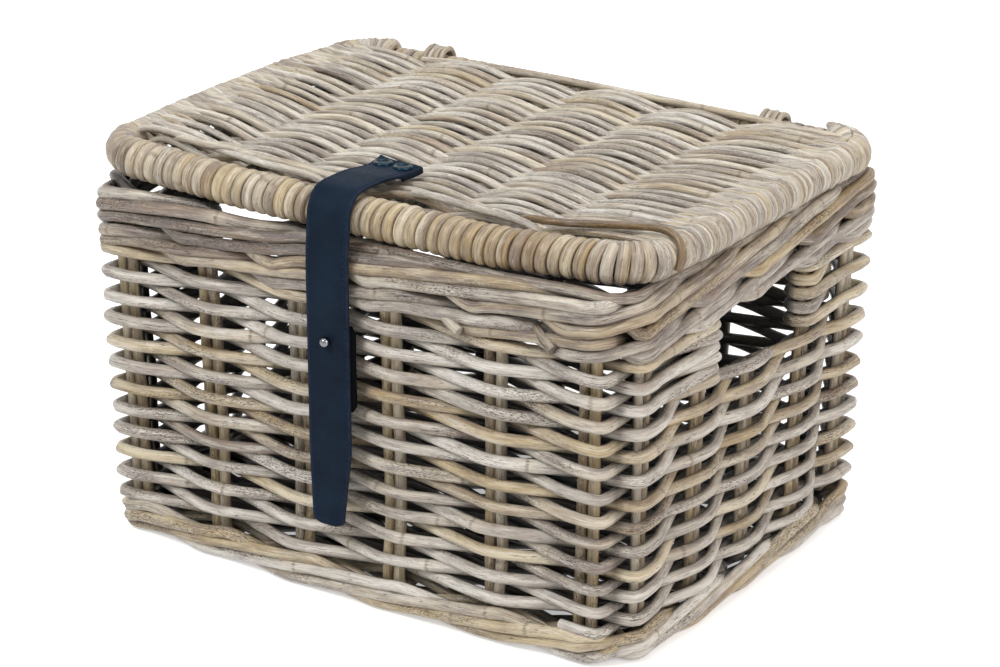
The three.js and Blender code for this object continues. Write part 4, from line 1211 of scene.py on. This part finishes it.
# %% Strap line
STRAP_X, STRAP_HALF, STRAP_THICK = -4.5, 17.0, 3.0
STRAP_TIP, TAPER_FROM, TAPER_LEFT, TAPER_RIGHT, TIP_ROUND = 57.0, 112.0, 1.5, 7.6, 5
CURL, CURL_RUN, HOLLOW, HOLLOW_RUN = -1.4, 16, 2.6, 10
STRAP_POINTS, KNOT_STEPS = 170, 24
STRAP_KNOTS = [(-90.6, 289.0), (-94.5, 288.3), (-102, 287.9), (-112, 288.5), (-124, 290.2), (-136, 291.4)]
for angle, reach in ((72, 20.0), (48, 20.6), (24, 20.6), (2, 20.6)):
    a = math.radians(angle)
    STRAP_KNOTS.append((-ROD_Y - reach * math.cos(a), LID_Z + reach * math.sin(a)))
STRAP_KNOTS += [(-173.6, 262), (-174.7, 250), (-175.2, 236), (-175.1, 200), (-175.1, 150), (-175.1, 100),
                (-174.6, STRAP_TIP)]


def catmull(knots, count):
    """Evenly spaced points on a smooth line through the knots."""
    knots = np.array(knots, float)
    ends = np.vstack([2 * knots[0] - knots[1], knots, 2 * knots[-1] - knots[-2]])
    fine = []
    for i in range(len(knots) - 1):
        p0, p1, p2, p3 = ends[i:i + 4]
        for t in np.linspace(0, 1, KNOT_STEPS, endpoint=False):
            fine.append(0.5 * (2 * p1 + (p2 - p0) * t + (2 * p0 - 5 * p1 + 4 * p2 - p3) * t * t
                               + (3 * p1 - p0 - 3 * p2 + p3) * t ** 3))
    fine = np.array(fine + [knots[-1]])
    at = run_along(fine)
    return np.stack([np.interp(np.linspace(0, at[-1], count), at, fine[:, i]) for i in range(2)], 1)


STRAP_LINE = catmull(STRAP_KNOTS, STRAP_POINTS)
STRAP_RUN = run_along(STRAP_LINE)
slope = np.gradient(STRAP_LINE, axis=0)
slope /= np.linalg.norm(slope, axis=1)[:, None]
STRAP_UP = np.stack([slope[:, 1], -slope[:, 0]], 1)


def strap_edges(i):
    """Left and right edge of the strap at one point of its line: tapered and rounded at the tip."""
    left, right = -STRAP_HALF, STRAP_HALF
    z, to_tip = STRAP_LINE[i, 1], STRAP_RUN[-1] - STRAP_RUN[i]
    if z < TAPER_FROM:
        share = (TAPER_FROM - z) / (TAPER_FROM - STRAP_TIP)
        left, right = left + TAPER_LEFT * share, right - TAPER_RIGHT * share
    if to_tip < TIP_ROUND:
        bite = TIP_ROUND - math.sqrt(max(TIP_ROUND ** 2 - (TIP_ROUND - to_tip) ** 2, 0))
        left, right = left + bite, right - bite
    return left, right


def strap_point(i, across, lift):
    """A point of the strap, by its place along the line, across it and above its middle."""
    curl = CURL * (across / STRAP_HALF) ** 3 * max(0, 1 - STRAP_RUN[i] / CURL_RUN)
    hollow = HOLLOW * (1 - (across / STRAP_HALF) ** 2) * max(0, 1 - STRAP_RUN[i] / HOLLOW_RUN)
    y, z = STRAP_LINE[i] + STRAP_UP[i] * (lift + curl) - np.array((hollow, 0))
    return in_metres((STRAP_X + across, y, z))


print("strap line is", round(float(STRAP_RUN[-1])), "mm long")

# %% [markdown]
# The section has a crowned top and rounded edges. Under the riveted end the strap is lined, so the section
# is deeper there and the end looks as thick as in the photograph.

# %% Strap body
SECTION_EDGE, CROWN, EDGE_IN, EDGE_SHARE, BACK_EDGE = 1.0, 0.35, 0.25, 0.55, 0.5
TOP_POINTS, BACK_POINTS = 11, 5
LINING, LINED_RUN, LINING_FADE = 2.4, 26, 8


def strap_section(left, right, under):
    """Outline of the strip: crowned top, rounded edges, flat back; with how near each point is to an edge."""
    half = STRAP_THICK / 2
    back = half + under
    middle, wide = (left + right) / 2, (right - left) / 2
    outline = []
    for share in np.linspace(-1, 1, TOP_POINTS):
        outline.append((middle + share * (wide - SECTION_EDGE), half - CROWN * share ** 6, abs(share)))
    outline += [(right - EDGE_IN, half * EDGE_SHARE, 1.0), (right, 0, 1.0),
                (right - EDGE_IN, BACK_EDGE - back, 1.0)]
    for share in np.linspace(1, -1, BACK_POINTS):
        outline.append((middle + share * (wide - SECTION_EDGE), -back, abs(share)))
    return outline + [(left + EDGE_IN, BACK_EDGE - back, 1.0), (left, 0, 1.0),
                      (left + EDGE_IN, half * EDGE_SHARE, 1.0)]


def plain_piece(name, vertices, faces, material, edge=None):
    """A mesh piece with its normals turned outwards and smooth shading."""
    mesh = bpy.data.meshes.new(name)
    mesh.from_pydata(vertices, [], faces)
    if edge is not None:
        mesh.attributes.new("edge", "FLOAT", "POINT").data.foreach_set("value", edge)
    work = bmesh.new()
    work.from_mesh(mesh)
    bmesh.ops.recalc_face_normals(work, faces=work.faces)
    work.to_mesh(mesh)
    work.free()
    mesh.shade_smooth()
    mesh.materials.append(material)
    return add_object(name, mesh)


def loft(sections):
    """Faces that join closed outlines of the same number of points, with a cap at both ends."""
    count = len(sections[0])
    faces = []
    for i in range(len(sections) - 1):
        for j in range(count):
            k = (j + 1) % count
            faces.append((i * count + j, i * count + k, (i + 1) * count + k, (i + 1) * count + j))
    last = (len(sections) - 1) * count
    return faces + [tuple(range(count)), tuple(range(last, last + count))]


def settle_bent(piece, stands_for=()):
    """As settle, for the leather that runs from the lid to the hanging part of the strap, but on no body: its
    place is put into its points.
    """
    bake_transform(piece)
    note(piece, stands_for, "from lid to strap_tail")


sections, vertices, edge = [], [], []
for i in range(len(STRAP_LINE)):
    under = LINING * grow(-STRAP_RUN[i], -LINED_RUN, LINING_FADE)
    outline = strap_section(*strap_edges(i), under)
    sections.append(outline)
    vertices += [strap_point(i, a, b) for a, b, _ in outline]
    edge += [e for _, _, e in outline]
strap = plain_piece("leather_strap", vertices, loft(sections), LEATHER, edge)
settle_bent(strap, ["strap", "strap_tail"])

# %% [markdown]
# ## Stitches
# A row of stitches runs 3 mm inside each edge and across the tip. Each stitch is a small bead of thread, set
# at even steps along the seam line by a node tree and turned along it.

# %% Stitch tree and seams
STITCH_PITCH, STITCH_LONG, THREAD_WIDE = 0.0041, 0.0028, 0.0008
BEAD = {"Segments": 6, "Rings": 5, "Radius": 0.5}
SEAM_INSET, SEAM_LIFT, TIP_MARGIN, TIP_INSET, TIP_POINTS = 2.8, 1.42, 1.5, 5, 6


def stitch_tree():
    tree, source, sink = new_tree("stitches", {"Pitch": "Float", "Stitch length": "Float", "Thread": "Float",
                                               "Material": "Material"})
    link, thread = tree.links.new, source.outputs["Thread"]
    points = node(tree, "GeometryNodeCurveToPoints", mode="LENGTH")
    bead = node(tree, "GeometryNodeMeshUVSphere", BEAD)
    place = node(tree, "GeometryNodeInstanceOnPoints")
    link(source.outputs["Pitch"], points.inputs["Length"])
    link(points.outputs["Rotation"], place.inputs["Rotation"])
    link(bead.outputs["Mesh"], place.inputs["Instance"])
    link(combine(tree, thread, thread, source.outputs["Stitch length"]), place.inputs["Scale"])
    pipe(tree, source, node(tree, "GeometryNodeMeshToCurve"), points, place,
         node(tree, "GeometryNodeRealizeInstances"), set_material(tree, source), sink)
    return tree


last_row = int(np.searchsorted(STRAP_RUN, STRAP_RUN[-1] - SEAM_INSET - TIP_MARGIN))
seam = [strap_point(i, strap_edges(i)[0] + SEAM_INSET, SEAM_LIFT) for i in range(2, last_row)]
left, right = strap_edges(last_row)
for across in np.linspace(left + TIP_INSET, right - TIP_INSET, TIP_POINTS):
    seam.append(strap_point(last_row, across, SEAM_LIFT))
seam += [strap_point(i, strap_edges(i)[1] - SEAM_INSET, SEAM_LIFT) for i in range(last_row - 1, 1, -1)]
seam_mesh = bpy.data.meshes.new("seam_line")
seam_mesh.from_pydata(seam, [(i, i + 1) for i in range(len(seam) - 1)], [])
stitches = bake(add_object("seam_line", seam_mesh), stitch_tree(), "strap_stitches",
                {"Pitch": STITCH_PITCH, "Stitch length": STITCH_LONG, "Thread": THREAD_WIDE,
                 "Material": THREAD})
settle_bent(stitches)

# %% [markdown]
# ## The tab
# A piece of leather lies on the wall behind the strap, so that the stud doesn't rub the cane. The
# photograph shows only its right edge. It is lofted from bottom to top, with rounded corners and a slightly
# crowned face. Its leather is near black, darker than the strap: painted shadow of the strap.

# %% Tab behind the strap
STUD_Z = 189.9
TAB_LOW, TAB_HIGH, TAB_LEFT, TAB_RIGHT = STUD_Z - 48, STUD_Z + 12, -16.0, 20.0
TAB_Y, TAB_HALF, TAB_CROWN, TAB_SIDE, TAB_WEAR = -172.2, 1.2, 1.15, 0.6, 0.5
TAB_ROUND, ROUND_FROM, TAB_ROWS = 3.0, 0.86, 15
tab_rows = []
for share in np.linspace(0, 1, TAB_ROWS):
    z = TAB_LOW + (TAB_HIGH - TAB_LOW) * share
    bite = TAB_ROUND * max(abs(2 * share - 1) - ROUND_FROM, 0) / (1 - ROUND_FROM)
    left, right = TAB_LEFT + bite, TAB_RIGHT - bite
    outline = ((left, -1), (left, 1), (0, TAB_CROWN), (right - TAB_SIDE, 1), (right, 0), (right - TAB_SIDE, -1))
    tab_rows.append([in_metres((STRAP_X + a, TAB_Y - b * TAB_HALF, z)) for a, b in outline])
tab_points = [q for row in tab_rows for q in row]
tab = plain_piece("leather_tab", tab_points, loft(tab_rows), TAB_LEATHER_PAINTED_SHADOW, [TAB_WEAR] * len(tab_points))
settle(tab, "basket", ["strap_tab"])

# %% [markdown]
# ## Turned metal
# The ball stud, its washer and the rivets are turned or pressed from round bar, so each is a profile spun
# round its axis. The plating has faint scratches, drawn by noise on its roughness.

# %% Metal finishes
WEAR_SCALE, WORN_SHARE = 900, 0.88
METAL_BUMP, METAL_BUMP_DEPTH = 0.15, 0.0001


def metal_material(name, color, rough):
    material, tree, shader = new_material(name)
    wear = noise(tree, object_place(tree), WEAR_SCALE, 4.0, 0.7)
    tint = ramp(tree, wear, [(0.3, tinted(color, WORN_SHARE)), (0.7, srgb(*color))])
    dress(tree, shader, tint, limits(tree, wear, 0.3, 0.8, rough * 0.7, rough * 1.4), wear,
          METAL_BUMP, METAL_BUMP_DEPTH)
    fix(shader, {"Metallic": 1.0})
    return material


BRIGHT_METAL = metal_material("plated_stud", (132, 135, 140), 0.12)
BLUED_METAL = metal_material("blued_rivet", (28, 50, 62), 0.2)
DULL_METAL = metal_material("plain_washer", (150, 152, 154), 0.4)
print("metal finishes:", [m.name for m in (BRIGHT_METAL, BLUED_METAL, DULL_METAL)])

# %% [markdown]
# The stud is a ball on a neck that goes through tab and wall to a washer inside. Each rivet goes through
# strap and lid, with a dished head above and a burr below. Profiles are lists of radius and height.

# %% Stud and rivets
SPIN_SIDES = 28
FRONT, UP = (0, -1, 0), (0, 0, 1)


def turned(name, profile, axis, at, material):
    """A profile of (radius, distance along the axis) spun into a closed mesh; at is where the axis starts."""
    axis = np.array(axis, float)
    side = np.array((1.0, 0, 0))
    other = np.cross(axis, side)
    vertices, rows = [], []
    for r, h in profile:
        row = []
        for k in range(SPIN_SIDES if r > 0 else 1):
            a = 2 * math.pi * k / SPIN_SIDES
            row.append(len(vertices))
            vertices.append(in_metres(np.array(at) + axis * h + (side * math.cos(a) + other * math.sin(a)) * r))
        rows.append(row)
    faces = []
    for low, high in zip(rows, rows[1:]):
        for k in range(SPIN_SIDES):
            n = (k + 1) % SPIN_SIDES
            quad = [low[k % len(low)], low[n % len(low)], high[n % len(high)], high[k % len(high)]]
            faces.append(tuple(dict.fromkeys(quad)))
    return plain_piece(name, vertices, faces, material)


STUD_Y, WASHER_Y = -175.2, -145.4
BALL, BALL_NECK, BALL_LIFT, BALL_POINTS = 3.6, 0.9, 0.2, 11
stud = [(0, -29), (1.45, -29), (1.45, -1.0), (2.2, -0.6), (2.2, 0.4)]
for a in np.linspace(BALL_NECK, math.pi, BALL_POINTS):
    stud.append((BALL * math.sin(a) if a < math.pi else 0, BALL - BALL * math.cos(a) + BALL_LIFT))
washer = [(0, 0), (7.2, 0), (8, 0.4), (8, 1.4), (7.4, 1.7), (0, 1.7)]
ball_stud = turned("ball_stud", stud, FRONT, (STRAP_X, STUD_Y, STUD_Z), BRIGHT_METAL)
settle(ball_stud, "basket", ["stud"])
inner_washer = turned("inner_washer", washer, FRONT, (STRAP_X, WASHER_Y, STUD_Z), DULL_METAL)
settle(inner_washer, "basket", ["stud_washer"])

RIVET_SPOTS = (("left", -8), ("right", 8))
RIVET_Y, RIVET_SEAT, BURR_SEAT = -100.5, 289.3, 262.2
head = [(0, -24.8), (1.45, -24.8), (1.45, -0.6), (6.3, -0.4), (6.8, 0.3), (6.3, 1.2), (5.2, 1.7), (4.2, 1.3),
        (3.4, 0.7), (0, 0.6)]
burr = [(0, 0), (5.4, 0), (6, 0.4), (6, 1.2), (5.2, 1.6), (0, 1.6)]
for side, x in RIVET_SPOTS:
    top = turned(f"rivet_head_{side}", head, UP, (STRAP_X + x, RIVET_Y, RIVET_SEAT), BLUED_METAL)
    settle(top, "lid", [f"strap_rivet_{side}"])
    under = turned(f"rivet_washer_{side}", burr, UP, (STRAP_X + x, RIVET_Y, BURR_SEAT), DULL_METAL)
    settle(under, "lid", [f"rivet_burr_{side}"])

# %% [markdown]
# ## Floor and sky
# The photograph is a cut-out on white, lit softly from all round. A pale floor takes the shadow. Floor and
# sky are brighter where the camera, gloss or glass looks at them than as a source of light, so the ground
# of the picture is white while the basket keeps its shading.

# %% Floor and sky
FLOOR_SIZE, FLOOR_DROP, FLOOR_GLOW = 6.0, 0.0005, 0.45
SKY_LIGHT, SKY_SEEN = 0.4, 1.0
PAPER = {"Base Color": (0.86, 0.86, 0.86, 1), "Roughness": 0.9, "Emission Color": (1, 1, 1, 1)}


def looked_at(tree):
    """One where the camera, gloss or glass looks at a thing, zero where it gives light to others."""
    rays = node(tree, "ShaderNodeLightPath").outputs
    return calc(tree, "MAXIMUM", rays["Is Camera Ray"], rays["Is Glossy Ray"], rays["Is Transmission Ray"])


floor_mesh = bpy.data.meshes.new("floor")
h = FLOOR_SIZE / 2
floor_mesh.from_pydata([(-h, -h, 0), (h, -h, 0), (h, h, 0), (-h, h, 0)], [], [(0, 1, 2, 3)])
floor = add_object("floor", floor_mesh)
floor.location.z = -FLOOR_DROP
paper, tree, shader = new_material("white_paper")
fix(shader, PAPER)
tree.links.new(calc(tree, "MULTIPLY", looked_at(tree), FLOOR_GLOW), shader.inputs["Emission Strength"])
floor_mesh.materials.append(paper)

world = bpy.data.worlds.new("white_sky")
bpy.context.scene.world = world
world.use_nodes = True
tree = world.node_tree
sky = tree.nodes["Background"]
tree.links.new(limits(tree, looked_at(tree), 0.0, 1.0, SKY_LIGHT, SKY_SEEN), sky.inputs["Strength"])
fix(sky, {"Color": (1, 1, 1, 1)})
print("stage:", floor.name, "and", world.name)

# %% [markdown]
# ## Lamps
# Three broad lamps light the object evenly: the key in front on the left, one on the right side and one
# above. The side lamp is slightly warm, as the right wall is in the photograph.

# %% Lamps
WHITE, SLIGHTLY_WARM = (1.0, 1.0, 1.0), (1.0, 0.9, 0.83)


def lamp(name, at, aim, size, power, color=WHITE):
    data = bpy.data.lights.new(name, "AREA")
    data.shape, data.size, data.size_y, data.energy, data.color = "RECTANGLE", size, size, power, color
    made = add_object(name, data)
    made.location = at
    made.rotation_mode = "QUATERNION"
    made.rotation_quaternion = (Vector(aim) - Vector(at)).to_track_quat("-Z", "Y")


lamp("key_lamp", at=(-0.8, -1.9, 2.4), aim=(0, 0, 0.15), size=1.0, power=48)
lamp("side_lamp", at=(2.3, -0.6, 1.4), aim=(0, 0, 0.15), size=1.4, power=28, color=SLIGHTLY_WARM)
lamp("top_lamp", at=(0.2, 0.5, 2.6), aim=(0, 0, 0.2), size=1.6, power=24)
bpy.context.scene.view_settings.view_transform = "Standard"

# %% Triangles in all
print("triangles in all:", sum(TRIANGLES.values()))
